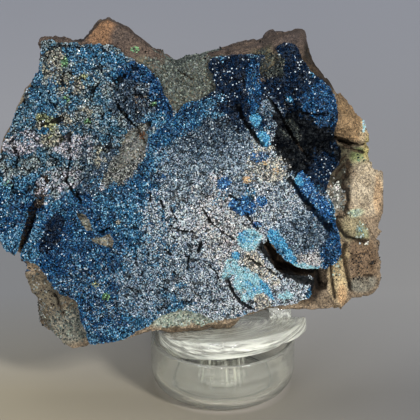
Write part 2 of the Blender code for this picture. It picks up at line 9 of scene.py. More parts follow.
import bpy
import numpy as np
from bpy.props import FloatProperty, FloatVectorProperty, PointerProperty
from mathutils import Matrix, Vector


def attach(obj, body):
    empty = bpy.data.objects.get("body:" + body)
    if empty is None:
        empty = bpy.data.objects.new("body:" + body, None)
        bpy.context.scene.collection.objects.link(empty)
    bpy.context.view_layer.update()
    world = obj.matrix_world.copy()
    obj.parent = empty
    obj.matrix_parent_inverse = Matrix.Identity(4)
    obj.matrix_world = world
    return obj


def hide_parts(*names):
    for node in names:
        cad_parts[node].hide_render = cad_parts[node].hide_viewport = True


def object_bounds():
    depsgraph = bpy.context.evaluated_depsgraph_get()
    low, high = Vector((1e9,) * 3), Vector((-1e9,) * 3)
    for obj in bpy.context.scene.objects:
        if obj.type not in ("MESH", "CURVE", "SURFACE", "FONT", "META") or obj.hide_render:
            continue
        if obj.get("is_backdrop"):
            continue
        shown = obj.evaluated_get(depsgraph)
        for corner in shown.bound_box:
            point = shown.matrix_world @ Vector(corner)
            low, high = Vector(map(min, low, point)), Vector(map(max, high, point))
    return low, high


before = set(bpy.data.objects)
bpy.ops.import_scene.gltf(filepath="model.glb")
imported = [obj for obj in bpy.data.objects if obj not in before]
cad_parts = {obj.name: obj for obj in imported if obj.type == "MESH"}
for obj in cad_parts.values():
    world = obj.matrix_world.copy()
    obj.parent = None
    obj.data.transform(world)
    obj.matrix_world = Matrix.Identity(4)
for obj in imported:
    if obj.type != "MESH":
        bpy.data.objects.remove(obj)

bl_info = {
    "name": "Cornetite specimen",
    "version": (1, 0, 0),
    "blender": (4, 5, 0),
    "location": "3D View > Sidebar > Specimen",
    "description": "Dresses a packed specimen: rock, crystal crust and clear stand",
    "category": "Object",
}

MM = 0.001
CAD_LOW, CAD_HIGH = (np.array(corner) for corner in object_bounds())

# The slab's place and lean, as the solids have them
SLAB_PLACE = np.array((0.0, -9.0, 20.1)) * MM
SLAB_LEAN = math.radians(17.0)
SLAB_AXES = np.array((
    (1.0, 0.0, 0.0),
    (0.0, math.sin(SLAB_LEAN), math.cos(SLAB_LEAN)),
    (0.0, -math.cos(SLAB_LEAN), math.sin(SLAB_LEAN)),
))

# The stand's cup
CUP_RADIUS = 16.4
CUP_HEIGHT = 12.6
CUP_WALL = 1.1
CUP_STEPS = 128
FOOT_RADIUS = 12.7
HEEL_HEIGHT = 5.2
FLOOR_THICKNESS = 1.4
FLOOR_RADIUS = 11.8
BOSS_RADIUS = 5.1
BOSS_FOOT_RADIUS = 5.5
BOSS_HEIGHT = 8.1
BOSS_ROUNDING = 0.4
RECESS_RADIUS = 11.3
RECESS_DEPTH = 0.3
GROOVE_HALF = 0.25

# The stand's head, in its own axes
HEAD_PLACE = np.array((2.1, 0.0, 15.3))
HEAD_TILT = math.radians(12.5)
HEAD_ROLL = math.radians(5.5)
LEDGE_RADIUS = 16.8
LEDGE_THICKNESS = 2.8
PLUG_RADIUS = 13.9
PLUG_CENTRE = (-1.8, 0.8)
PLUG_TOP = 2.4
PLUG_BOTTOM = 5.0
BAR_FRONT = -1.0
BAR_DEPTH = 4.0
BAR_TOP = 1.0
BAR_BOTTOM = 2.55
PRONG_SPREAD = 11.1
PRONG_WIDTH = 5.0
PRONG_THICKNESS = 2.5
PRONG_HEIGHT = 24.0
PRONG_FRONT = 0.8
PRONG_ROOT = -2.0
EDGE_ROUNDING = 0.35

# Camera and room
CAMERA_PLACE = (-0.0028706, -0.5453147, 0.2977535)
CAMERA_TILT = 65.0
CAMERA_LENS = 231.43
SENSOR_WIDTH = 36.0
FLOOR_LEVEL = -0.00005
SKY_COLOUR = (0.80, 0.84, 0.90, 1.0)
SKY_STRENGTH = 0.38

# Soft square lamps that look at one point: place, width and height, watts and colour
LAMP_AIM = (0.0, 0.0, 0.045)
LAMPS = {
    "key": ((0.40, -0.50, 0.45), (0.14, 0.14), 5.6, (1.0, 0.98, 0.94)),
    "fill": ((-0.38, -0.62, 0.28), (0.35, 0.30), 2.6, (0.94, 0.97, 1.0)),
    "glint": ((0.03, -0.72, 0.20), (0.08, 0.08), 1.6, (1.0, 1.0, 1.0)),
    "overhead": ((-0.05, 0.25, 0.80), (0.50, 0.40), 1.3, (0.97, 0.98, 1.0)),
}

# The slanting seam left of which the crust is coarser: a place on it in U and W, and the way across it
SEAM_PLACE, SEAM_ACROSS = (-10.0, 46.0), (-0.573, 0.82)

# Size and seed of the knobs that crystals grow in, on the left panel, the rest and the low dome, and how
# far the crystals of one knob share their colour
PANEL_KNOBS, FACE_KNOBS, DOME_KNOBS = (1.8, 5), (1.2, 11), (2.9, 71)
PANEL_SHARED, FACE_SHARED = 0.7, 0.4
PANEL_KNOB_HEIGHT, FACE_KNOB_HEIGHT, DOME_KNOB_HEIGHT = 1.15, 0.34, 0.26

# Height, size and seed of smooth noise on the crust and on the rock
CRUST_WAVES, CRUST_GRIT = (0.16, 3.1, 23), (0.10, 0.9, 29)
ROCK_WAVES, ROCK_GRIT = (0.24, 4.2, 31), (0.12, 1.1, 37)

# Height, size, seed and tip of the rock's broken steps: large and small ones, the blocks of the right
# end and the flakes of the back
LARGE_STEPS, SMALL_STEPS = (0.62, 4.4, 41), (0.34, 1.9, 53)
END_BLOCKS, BACK_FLAKES = (0.9, 6.5, 91, 0.35), (1.3, 9.0, 121, 0.22)

# How deep cracks are in the crust and the rock, and how far they reach, in their own half widths
CRUST_CRACK_DEPTH, ROCK_CRACK_DEPTH, CRACK_REACH = 0.9, 0.8, 1.25

# How far crystals and the crust between them differ in brightness and in colour
UNEVEN, TINGED = 0.42, 0.06
# Share of crystals that sparkle, with full gloss and a painted glint: how far their colour is painted pale,
# and the pale colour
SPARKLE_SHARE, GLINT_PAINT_PART, GLINT_PAINT_COLOUR = 0.018, 0.7, (0.72, 0.82, 0.90)

# Longest edges of the rock's mesh, of its part at the right edge, and of the crust's
ROCK_EDGE, RIGHT_EDGE, CRUST_EDGE = 0.9, 0.5, 0.62

# Grains on the bare rock: distance apart and tilt
GRAIN_SPACING, GRAIN_TILT = 0.34, 0.9

# Edges bent by more than this, in degrees, stay sharp
CUP_CREASE, HEAD_CREASE, ROCK_CREASE = 40, 35, 48

BLACK = (0.0, 0.0, 0.0)
MOST_TRIANGLES = 190000

# Colours of the crystals, as shares of paler and darker ones: (share, red, green, blue)
PALETTES = {
    # Silver and rose: pale grains, partly their own colour and partly painted sheen where the dome's crystals
    # catch the light
    "silver": ((0.5, 0.5, 0.53, 0.55), (0.32, 0.32, 0.39, 0.44), (0.18, 0.11, 0.15, 0.2)),
    "rose": ((0.5, 0.55, 0.52, 0.5), (0.32, 0.36, 0.37, 0.38), (0.18, 0.12, 0.13, 0.15)),
    "steel": ((0.34, 0.3, 0.36, 0.41), (0.42, 0.15, 0.21, 0.27), (0.24, 0.04, 0.075, 0.115)),
    "blue": ((0.26, 0.15, 0.31, 0.43), (0.46, 0.03, 0.13, 0.24), (0.28, 0.008, 0.04, 0.09)),
    "teal": ((0.26, 0.18, 0.29, 0.36), (0.48, 0.048, 0.135, 0.21), (0.26, 0.014, 0.05, 0.09)),
    "ink": ((0.14, 0.06, 0.17, 0.3), (0.5, 0.007, 0.06, 0.16), (0.36, 0.003, 0.02, 0.06)),
    "navy": ((0.32, 0.004, 0.023, 0.062), (0.68, 0.0015, 0.008, 0.024)),
    # Black: painted shadow in the deep pit right of the dome's top
    "black": ((1, 0.001, 0.002, 0.004),),
    "vivid": ((0.15, 0.22, 0.42, 0.6), (0.42, 0.035, 0.15, 0.36), (0.43, 0.01, 0.055, 0.16)),
    "turquoise": ((0.58, 0.38, 0.56, 0.59), (0.42, 0.2, 0.44, 0.52)),
    "cyan": ((0.4, 0.15, 0.42, 0.58), (0.4, 0.05, 0.27, 0.48), (0.2, 0.02, 0.14, 0.3)),
    "knobs": ((0.4, 0.3, 0.34, 0.34), (0.38, 0.14, 0.19, 0.21), (0.22, 0.03, 0.05, 0.06)),
    "beige": ((0.4, 0.38, 0.36, 0.28), (0.38, 0.17, 0.18, 0.16), (0.22, 0.03, 0.035, 0.035)),
    "cream": ((0.46, 0.6, 0.55, 0.45), (0.33, 0.34, 0.34, 0.31), (0.21, 0.07, 0.08, 0.09)),
    "orange": ((0.6, 0.68, 0.48, 0.28), (0.4, 0.36, 0.28, 0.2)),
    "pink": ((0.46, 0.52, 0.49, 0.52), (0.34, 0.27, 0.3, 0.35), (0.2, 0.05, 0.065, 0.09)),
    "green": ((0.45, 0.19, 0.36, 0.17), (0.35, 0.08, 0.17, 0.09), (0.2, 0.015, 0.03, 0.02)),
    "lime": ((0.45, 0.38, 0.39, 0.2), (0.33, 0.18, 0.21, 0.12), (0.22, 0.03, 0.04, 0.025)),
    "slate": ((0.18, 0.16, 0.2, 0.23), (0.46, 0.048, 0.08, 0.12), (0.36, 0.01, 0.025, 0.045)),
    "umber": ((0.24, 0.17, 0.12, 0.075), (0.4, 0.05, 0.035, 0.025), (0.36, 0.008, 0.006, 0.006)),
    "olive": ((0.22, 0.12, 0.125, 0.1), (0.42, 0.04, 0.048, 0.045), (0.36, 0.01, 0.015, 0.018)),
    "moss": ((0.22, 0.18, 0.2, 0.17), (0.48, 0.08, 0.095, 0.085), (0.3, 0.03, 0.038, 0.035)),
    "sand": ((0.28, 0.32, 0.32, 0.29), (0.48, 0.16, 0.17, 0.16), (0.24, 0.05, 0.055, 0.055)),
    "mint": ((0.42, 0.34, 0.39, 0.33), (0.38, 0.2, 0.25, 0.21), (0.2, 0.07, 0.09, 0.075)),
    "white": ((0.65, 0.82, 0.82, 0.76), (0.35, 0.45, 0.46, 0.42)),
}

# How glossy the crystals of each palette are, where that isn't 0.3
GLOSS = {
    "silver": 0.5, "rose": 0.5, "navy": 0.12, "black": 0.02, "turquoise": 0.15,
    "cyan": 0.2, "umber": 0.05, "olive": 0.05, "moss": 0.05, "sand": 0.06,
}

# How solid each palette's places look between their crystals, where that isn't 0.2. Off the left panel, the
# crust between the crystals is painted at that share of their colour, the rest being painted shade; a higher
# share also lifts the crystals' painted shade in hollows and evens their brightness.
FILL = {"turquoise": 0.9, "cyan": 0.85, "vivid": 0.35, "orange": 0.7, "cream": 0.45, "white": 0.6}

# Where each colour lies on the crust: palette, middle U and W, two half lengths, turn and strength.
# A later place covers an earlier one.
CRUST_ZONES = (
    ("blue", 0, 24, 80, 80, 0, 1),
    # The silver and rose places on the dome carry painted sheen as well as the grains' own colour
    ("silver", 3, 21, 21, 25, 0, 1),
    ("steel", -2, 36, 16, 9, 12, 0.62),
    ("steel", -9, 11, 13, 9, 0, 0.45),
    ("rose", 1, 22, 7, 12, 20, 0.5),
    ("steel", 14, 26, 7, 8, 0, 0.4),
    ("steel", -3, 40.5, 13, 6, 14, 0.85),
    ("slate", -2, 43, 12, 4, 14, 0.62),
    ("navy", 5, 53.5, 14, 7, 10, 1),
    ("navy", 8, 48, 6, 6, 0, 0.6),
    ("blue", -11.5, 44, 11, 3.4, 33, 0.85),
    ("ink", -12, 43.6, 10, 3.2, 33, 0.5),
    ("blue", -22, 31.5, 9, 4.4, 50, 0.9),
    ("ink", -20, 30, 9, 4.6, 50, 0.4),
    ("blue", -30, 14, 12.5, 19, 8, 1),
    ("slate", -28.5, 32.5, 6, 4, 30, 0.6),
    ("blue", -20, 2, 11, 8, 10, 1),
    ("blue", -46, 20, 8, 10, 0, 1),
    ("ink", -30, 12, 10, 18, 15, 0.56),
    ("steel", -17.5, 9, 6.4, 9, 0, 0.66),
    ("steel", -28, 6, 9, 9, 0, 0.24),
    ("blue", -15.5, 20, 6, 9, 0, 0.35),
    ("ink", -37.5, 16.5, 3.6, 7, -22, 0.8),
    ("navy", -38, 20, 1.8, 6, -22, 0.8),
    ("navy", 19, 48, 9.5, 9, 0, 1),
    ("navy", 15, 60, 9, 5, 0, 1),
    ("navy", 24.5, 40, 3, 7, 0, 0.9),
    # The black places here are painted shadow in the deep pit right of the dome's top
    ("black", 16.6, 45.6, 3.6, 5, 0, 0.5),
    ("steel", 11, 46.6, 2.4, 5.4, 30, 0.5),
    ("black", 18.5, 38.6, 7.4, 8.2, 20, 1),
    ("navy", 22.5, 33.6, 3.4, 4.6, 0, 0.8),
    ("olive", 15, 43, 2.8, 1.9, -50, 0.7),
    ("black", 12.9, 44.6, 3.6, 0.9, -50, 0.9),
    ("ink", 21.4, 50, 4.2, 3.6, 0, 0.8),
    ("ink", 22.6, 45.2, 2.8, 1.2, 0, 0.6),
    ("ink", 24.2, 17.5, 3.2, 8.6, 8, 0.85),
    ("ink", 20, 21, 3, 3, 0, 0.5),
    ("steel", 17, 20.5, 5.4, 5, 0, 0.8),
    ("slate", 18.6, 19.6, 4.4, 4.4, 0, 0.45),
    ("rose", 19, 14.6, 3.4, 2.2, 0, 0.7),
    ("vivid", 18.4, 29.6, 4.2, 2.2, -52, 0.85),
    ("vivid", 22, 25.6, 3.9, 2.1, -50, 0.9),
    ("cyan", 16.8, 31.6, 1.5, 1, -45, 0.8),
    ("vivid", 4.4, 26.6, 2.9, 1.9, -10, 0.95),
    ("vivid", 8.7, 27.8, 1.3, 1.2, 0, 0.85),
    ("vivid", 7.6, 22.4, 1.2, 0.8, 0, 0.7),
    ("vivid", 0.4, 31.4, 1.8, 1.5, 30, 0.7),
    ("blue", -1, 28.4, 2.4, 1.4, 30, 0.3),
    ("blue", 4.2, 30, 3, 2.4, 0, 0.5),
    ("cream", 9.6, 34.8, 5.6, 3.6, -8, 0.6),
    ("cream", 8.8, 39.6, 3.6, 1.8, -40, 0.45),
    ("orange", 5.2, 32.4, 1, 0.8, 0, 0.9),
    ("orange", 11.6, 34.4, 1, 0.9, 0, 0.6),
    ("orange", 9.4, 36.4, 0.9, 0.8, 0, 0.6),
    ("steel", 2.9, 30.4, 2.2, 1.6, 50, 0.8),
    ("vivid", 8.4, 37.4, 2.2, 1.3, 0, 0.45),
    ("cyan", 7.3, 45.2, 1.3, 1.7, 0, 0.9),
    ("cyan", 9, 41.4, 1.3, 1.9, 20, 0.9),
    ("ink", 7, 53, 2, 5.6, 0, 0.9),
    ("blue", 6.4, 54, 1, 3.4, 0, 0.3),
    ("cyan", 14.6, 50, 0.8, 0.8, 0, 0.5),
    ("olive", 10.6, 57.4, 2.8, 3, 0, 0.8),
    ("umber", 8.6, 54.6, 1, 1.2, 0, 0.5),
    ("turquoise", 5.8, 19, 2.7, 2.5, 10, 1),
    ("cyan", 5, 19.6, 1.8, 1.6, 0, 0.5),
    ("cyan", 2.8, 15.4, 1, 1.2, 0, 0.85),
    ("turquoise", 1.6, 12.4, 1.4, 2.8, -20, 0.6),
    ("turquoise", 5.2, 9.2, 3, 4.6, 25, 1),
    ("cyan", 6.4, 7.6, 1.8, 2.4, 20, 0.4),
    ("cyan", 9.6, 7.6, 2.8, 0.8, -50, 0.9),
    ("cyan", 9, 5.4, 0.8, 2.4, 10, 0.7),
    ("turquoise", 13.8, 6.2, 1.7, 0.9, 0, 0.85),
    ("cream", 8.6, 4.8, 2, 2, 0, 0.85),
    ("cream", 6.6, 14, 2.6, 2.2, -30, 0.9),
    ("cream", 10, 10.8, 3.2, 1.4, -40, 0.6),
    ("cyan", 11.8, 19, 2.8, 1.8, -55, 1),
    ("cyan", 14.4, 15.2, 3.2, 1.4, -55, 0.95),
    ("turquoise", 18, 12.4, 4.4, 1.3, -12, 0.95),
    ("blue", 12.8, 16.2, 2.6, 0.6, -55, 0.8),
    ("white", 4.4, 7.2, 0.7, 0.5, 0, 0.6),
    ("green", -26, 5.8, 0.9, 0.8, 0, 0.9),
    ("lime", -28.6, 8.6, 0.9, 0.7, 0, 0.6),
    ("beige", -23.2, 22.6, 0.8, 0.7, 0, 0.8),
    ("sand", -21.2, 36.8, 2.8, 7.4, -33, 0.9),
    ("pink", -26.9, 30.2, 0.5, 0.8, -25, 0.9),
)

# The same on the coarser left panel
PANEL_ZONES = (
    ("knobs", -30, 45, 60, 60, 0, 1),
    ("teal", -31, 48, 26, 18, 0, 0.5),
    ("blue", -46, 24, 9, 9, 0, 0.8),
    ("ink", -46, 22, 9, 7, 0, 0.5),
    ("blue", -38.5, 52, 5, 8.5, 15, 0.5),
    ("blue", -27, 57.5, 9, 4.5, -20, 0.5),
    ("blue", -40, 45, 3, 3.4, 15, 0.6),
    ("beige", -36.8, 56, 2.6, 5.2, 15, 0.6),
    ("beige", -33, 52.5, 2.2, 2, 0, 0.45),
    ("beige", -30.6, 46.5, 2.4, 1.6, 10, 0.45),
    ("lime", -39, 44.6, 2.4, 1.8, -20, 0.75),
    ("lime", -37.4, 41.4, 2.2, 2.2, 0, 0.5),
    ("beige", -36, 42, 5.4, 4, 0, 0.45),
    ("pink", -45, 39.6, 5, 2.4, 15, 0.65),
    ("pink", -32.4, 38.8, 4.6, 2.8, 0, 0.8),
    ("pink", -36, 31, 6, 3.4, 20, 0.5),
    ("slate", -27.6, 35.6, 4.4, 6.4, 0, 0.55),
    ("beige", -26.4, 36, 2, 4.4, 20, 0.3),
    ("green", -47.9, 30.6, 1.2, 0.9, 0, 0.6),
    ("green", -35, 57.5, 1, 1.2, 0, 0.6),
    ("green", -30.2, 44.6, 0.9, 0.9, 0, 0.6),
    ("green", -35, 49.5, 0.8, 0.9, 0, 0.5),
    ("green", -26, 51.6, 0.9, 0.9, 0, 0.5),
    ("lime", -31, 54.6, 0.9, 0.9, 0, 0.6),
    ("slate", -17.5, 49.6, 6.4, 6.6, 25, 1),
    ("umber", -18, 50.4, 3.4, 3.4, 0, 0.12),
    ("ink", -13.6, 48.4, 1.8, 7, 22, 0.85),
    ("ink", -18.4, 55.2, 5.4, 2, -15, 0.75),
    ("blue", -15.4, 45.4, 2.6, 1.8, 0, 0.8),
    ("green", -15.4, 48.8, 0.9, 0.5, 0, 0.85),
    ("sand", -21.2, 36.8, 2.8, 7.4, -33, 0.9),
    ("white", -27, 30.6, 0.4, 0.8, -25, 0.9),
    ("umber", -41, 28, 1.2, 4.2, -18, 0.6),
)

# Lines where the crust is cracked open, and painted dark inside as painted shade: half width, then U and W of
# each point
CRACKS = (
    (0.4, -24.2, 53.6, -21.8, 54.8),
    (0.3, -40.4, 43.6, -38, 44.4, -36, 45.6),
    (0.28, -33.9, 36.6, -35, 31.2, -32.7, 28.5, -31.4, 27.6),
    (0.4, -32.8, 29.4, -31.6, 27.4),
    (0.3, -23.4, 48.6, -22.5, 46.9, -19.4, 43.6, -17.2, 40.2),
    (0.3, -29, 51, -27.6, 53),
    (0.5, 3.2, 48.6, 5.4, 44.1, 7.3, 41.3, 8.8, 40.1),
    (0.45, 10.2, 50, 12.6, 46.9, 14.6, 42.9, 16.6, 39.8, 18.8, 37),
    (0.4, 17.6, 47.2, 20.4, 46.9, 23.2, 47.2),
    (0.8, 15, 32.1, 17.2, 28.8, 19.5, 25.9, 23.6, 21.4),
    # The two widest, low on the right, stand for the deep undercut below the right lobe, painted dark as
    # shadow
    (1.1, 8.6, 17.6, 11, 14.1, 13.9, 11.5, 17.2, 9.9, 20.8, 8.8),
    (1.1, 20.3, 9.5, 20.7, 5.2),
    (0.28, -16.2, 29.3, -16, 27.6),
    (0.28, -13.8, 27.8, -13.3, 26.3),
    (0.3, -11.4, 25.6, -10.3, 23.7),
    (0.26, -4.6, 26.3, -2.8, 23.1, -0.3, 20.9, 2.1, 19.3),
    (0.25, -11.7, 22.2, -9.4, 21, -6.8, 20.9),
    (0.45, -4.8, 18.4, -5.6, 16.2),
    (0.3, -11.4, 11.9, -10.2, 11),
    (0.35, 5.4, 15.3, 7.2, 13.7, 9.7, 12.6, 11.7, 10.8),
    (0.4, 0.8, 10.3, 2.1, 7.2, 3.9, 4.9, 6.5, 2.9),
    (0.3, 5.2, 24.9, 6.5, 22.9, 7.7, 21.6),
    (0.22, -8.5, 16, -7.6, 14.4, -7.8, 12.6),
    (0.22, -3, 13, -1.4, 11.6, -0.6, 9.4),
    (0.24, -13, 17, -11.6, 15.6),
    (0.24, -14.4, 8.4, -12.4, 7.6),
    (0.24, -6.4, 7.2, -4.6, 5.4),
    (0.25, -21, 8, -19.6, 6.4),
    (0.25, -27.4, 20.4, -25, 21.4),
    (0.25, 1.2, 29, 3, 28.2),
)

# The same on the bare rock, where the cracks are painted dark inside as painted shade
ROCK_CRACKS = (
    (0.6, 24, 40.6, 27.2, 39.6, 32.6, 39.2),
    (0.4, 26.9, 39.2, 29.2, 37.8, 31.4, 37.2),
    (0.6, 28.2, 35.2, 27.5, 30.8, 28.1, 26.9, 27.5, 24.8),
    (0.3, 25.2, 34.6, 27.4, 36.6),
    (0.3, 24.8, 32.8, 27.2, 35),
    (0.3, 24.9, 31, 27, 33),
    (0.55, 25.4, 22.7, 27.6, 18.9, 31.9, 17.3),
    (0.3, 25.2, 23, 28.4, 24),
    (0.45, 27.4, 17.1, 27, 13.7, 28.1, 9.7, 28.7, 6.7),
    (0.4, 23.9, 13.7, 24.5, 8.5, 25, 5.2),
    (0.3, 29.6, 45, 30.2, 48.6),
    (0.35, 31.6, 10, 34, 9.4),
    (0.4, -19.4, 43.6, -17.2, 40.2),
    (0.3, -37.6, 6, -35.6, 1),
    (0.3, -10, 56, -6.6, 54),
)

# Colours of the bare rock, its own stains and a few places of painted shadow: colour, middle U, W and N,
# three half lengths and strength
ROCK_GROUND = (0.2, 0.155, 0.11)
ROCK_STAINS_AND_SHADOWS = np.array((
    (0.27, 0.2, 0.13, -24, 20, -12, 13, 11, 6, 0.7),
    (0.19, 0.1, 0.055, 6, 34, -12, 11, 8, 6, 0.7),
    (0.13, 0.125, 0.11, 21, 17, -12, 9, 8, 6, 0.7),
    (0.3, 0.25, 0.18, -4, 10, -12, 12, 6, 6, 0.6),
    (0.1, 0.07, 0.05, -34, 42, -13, 9, 8, 7, 0.7),
    (0.07, 0.054, 0.05, -5, 61, -12, 60, 8, 16, 0.97),
    (0.2, 0.11, 0.06, -27.6, 65, -5, 3.6, 4.4, 7, 0.95),
    (0.075, 0.082, 0.066, -7.6, 53.5, -4, 10.5, 7.6, 6, 0.95),
    (0.11, 0.11, 0.08, -17, 58.4, -3, 6, 2.4, 3.5, 0.85),
    (0.11, 0.085, 0.075, -22, 60.6, -3, 3, 2.6, 3, 0.8),
    (0.07, 0.07, 0.045, 9.4, 57.5, -3, 3.4, 4.4, 4, 0.9),
    (0.012, 0.01, 0.008, 21.4, 55.8, -10, 5.4, 7, 40, 1),
    (0.18, 0.18, 0.155, -20.5, 38.5, -4, 6, 8, 4, 0.95),
    (0.23, 0.155, 0.085, 28.8, 45.8, -6, 5.2, 6.6, 9, 0.97),
    (0.42, 0.34, 0.22, 31.6, 42, -6, 1, 5, 9, 0.7),
    (0.08, 0.088, 0.062, 27.6, 37, -5, 3.6, 2.8, 8, 0.95),
    (0.15, 0.21, 0.085, 30.9, 36.3, -6, 2.2, 2, 8, 0.85),
    (0.4, 0.34, 0.14, 32.4, 37, -8, 0.9, 4, 9, 0.8),
    (0.15, 0.165, 0.155, 24.7, 27.2, -8, 2.6, 3.6, 14, 0.92),
    (0.42, 0.36, 0.27, 32, 29.4, -7, 4.3, 5.8, 10, 0.96),
    (0.02, 0.025, 0.02, 26, 33, -8, 2.6, 3.8, 16, 1),
    (0.035, 0.042, 0.03, 25.8, 36.6, -8, 2.4, 2.4, 16, 0.9),
    (0.5, 0.34, 0.2, 34.8, 28, -9, 1, 4, 9, 0.7),
    (0.25, 0.225, 0.14, 28.2, 20.8, -4, 3.4, 3, 8, 0.9),
    (0.5, 0.58, 0.42, 29.4, 24.1, -4, 1.9, 0.9, 6, 0.9),
    (0.2, 0.26, 0.15, 31.4, 18.6, -5, 1.4, 3, 6, 0.7),
    (0.125, 0.085, 0.055, 30.9, 13.4, -6, 4.4, 4.4, 10, 0.95),
    (0.2, 0.2, 0.17, 31, 7.8, -6, 3, 1.8, 9, 0.85),
    (0.4, 0.32, 0.19, 25.9, 11, -4, 2.3, 8, 7, 0.95),
    (0.48, 0.3, 0.16, 26.6, 5.8, -4, 1.2, 2.6, 6, 0.7),
    (0.06, 0.045, 0.03, 20, 4.2, -3.5, 5.4, 1.2, 3, 0.9),
    (0.095, 0.086, 0.064, -38, 5, -5, 8, 12, 7, 0.95),
    (0.16, 0.12, 0.08, -33, 8, -4, 3, 4, 4, 0.6),
    (0.16, 0.17, 0.15, -34, -1, -3, 5, 4, 5, 0.7),
    (0.07, 0.055, 0.04, -40.5, 2, -14, 6, 8, 7, 0.9),
    (0.33, 0.36, 0.3, -11, 1.3, -1.5, 9.5, 2.4, 3.6, 0.95),
    (0.24, 0.19, 0.13, -2, 0, -3, 3, 1.6, 4, 0.7),
    (0.26, 0.24, 0.17, -29, 21, -2, 8, 6, 3, 0.9),
    (0.34, 0.3, 0.22, -46, 48, -4, 2, 12, 5, 0.7),
    (0.4, 0.36, 0.28, -36, 63, -3, 6, 1.2, 3, 0.7),
    (0.22, 0.09, 0.04, -18, 41.8, -3, 0.9, 1.2, 3, 0.9),
    # The last six are painted shadow: in the crevice at the left edge, in the pit right of the dome's top and
    # along the undercut below the right lobe.
    (0.01, 0.012, 0.018, -43.4, 22, -4, 3.6, 9, 8, 1),
    (0.012, 0.01, 0.009, 15.6, 41.4, -4, 5, 6, 9, 1),
    (0.003, 0.0025, 0.0025, 10.6, 15.4, -3, 3.4, 3.2, 9, 1),
    (0.003, 0.0025, 0.0025, 13.8, 11.6, -3, 3.6, 3.2, 9, 1),
    (0.003, 0.0025, 0.0025, 17.4, 9.8, -3, 3.6, 2.8, 9, 1),
    (0.003, 0.0025, 0.0025, 20, 7.8, -3, 2.2, 4, 9, 1),
))

# Where small grains and crystals sit on the bare rock, listed as on the crust
GRAIN_ZONES = (
    ("moss", -7.6, 52.6, 9.5, 8, 0, 0.8),
    ("olive", 10, 57, 3.6, 4, 0, 0.6),
    ("sand", -21.2, 36.8, 3.4, 8, -33, 0.75),
    ("sand", -29, 21, 9, 6, 0, 0.8),
    ("sand", -38, 5, 7, 11, 0, 0.28),
    ("umber", -36, 8, 6, 8, 0, 0.2),
    ("moss", -33, -1, 6, 4, 0, 0.5),
    ("mint", -11, 1.5, 10.5, 2.6, 0, 0.9),
    ("sand", 24.8, 27.4, 2.6, 3.8, 0, 0.5),
    ("white", 24.9, 28, 2.4, 3.6, 0, 0.16),
    ("white", 25.4, 30.6, 0.8, 0.9, 0, 0.7),
    ("sand", 26.4, 33.6, 2.4, 3.2, 0, 0.14),
    ("green", 30.4, 36.6, 2.4, 1.4, 0, 0.22),
    # These two darken the crevice at the left edge: painted shadow
    ("slate", -43.4, 22, 3.4, 8, 0, 0.5),
    ("ink", -43.8, 21, 3.4, 8, 0, 0.4),
    ("mint", 29.2, 24.2, 1.3, 0.8, 0, 1),
    ("mint", 31, 19.6, 1.3, 2.4, 0, 0.4),
    ("turquoise", 31, 20, 1.2, 2, 0, 0.12),
    ("white", 32.2, 17, 0.5, 0.6, 0, 0.9),
    ("turquoise", 31.4, 43.6, 0.5, 1.8, 0, 0.6),
    ("green", -19.7, 60.2, 1.1, 0.8, 0, 0.9),
    ("moss", -15.4, 58, 1.6, 0.9, 0, 0.8),
    ("mint", 25.6, 13, 1, 5, 0, 0.3),
    ("umber", 31, 13, 4, 4, 0, 0.3),
)


# Odd numbers that a cell's place, its seed and its folded bits are multiplied by
CELL_STEPS, SEED_STEP, FOLD_STEP = (73856093, 19349663, 83492791), 668265263, 0x45D9F3B

# How a facet is cut: how many of its edges are halved, and the new facet's corners. 0 to 2 are its own
# corners, and 3 to 5 the middles of its first, second and third edge.
CUTS = (
    (1, (0, 3, 2)), (1, (3, 1, 2)), (2, (3, 1, 4)), (2, (0, 3, 4)), (2, (0, 4, 2)),
    (3, (0, 3, 5)), (3, (3, 1, 4)), (3, (5, 4, 2)), (3, (3, 4, 5)),
)

# A crystal: a tapered block, its wide end first
BLOCK_SIDES = ((-0.5, -0.5), (0.5, -0.5), (0.5, 0.5), (-0.5, 0.5))
BLOCK = np.array([(x, y, z) for z in (-0.5, 0.5) for x, y in BLOCK_SIDES])
BLOCK_FACES = np.array(((3, 2, 1, 0), (4, 5, 6, 7), (0, 1, 5, 4), (1, 2, 6, 5), (2, 3, 7, 6), (3, 0, 4, 7)))
BLOCK_TRIANGLES = 12

# How wide a crystal's far end is next to its near one, and how far it leans; its breadth and length
TAPERS, LEANS, BREADTHS, LENGTHS = (0.35, 0.95), (-0.22, 0.22), (0.75, 1.1), (0.8, 1.3)


def smooth(value, low, high):
    """Rise from 0 at low to 1 at high with level ends: 3 t squared minus 2 t cubed."""
    part = np.clip((value - low) / (high - low), 0.0, 1.0)
    return part * part * (3 - 2 * part)


def one_long(vectors):
    """Vectors made one long."""
    return vectors / np.maximum(np.linalg.norm(vectors, axis=1, keepdims=True), 1e-12)


def cell_value(cell, seed):
    """A steady number from 0 to 1 for each whole-number cell, by multiplying and folding its bits."""
    mixed = (cell * np.array(CELL_STEPS)).sum(-1) + seed * SEED_STEP
    for _ in range(2):
        mixed &= 0xFFFFFFFF
        mixed = (mixed ^ (mixed >> 16)) * FOLD_STEP
    mixed &= 0xFFFFFFFF
    return ((mixed ^ (mixed >> 16)) & 0xFFFFFF) / 0xFFFFFF


def cloud(points, size, seed):
    """Smooth noise from -1 to 1: steady values at the corners of cubes of this size, blended between."""
    scaled = points / size
    base = np.floor(scaled).astype(np.int64)
    part = smooth(scaled - base, 0, 1)
    total = np.zeros(len(points))
    for corner in itertools.product((0, 1), repeat=3):
        weight = np.prod(np.where(corner, part, 1 - part), axis=-1)
        total += weight * cell_value(base + np.array(corner), seed)
    return 2 * total - 1


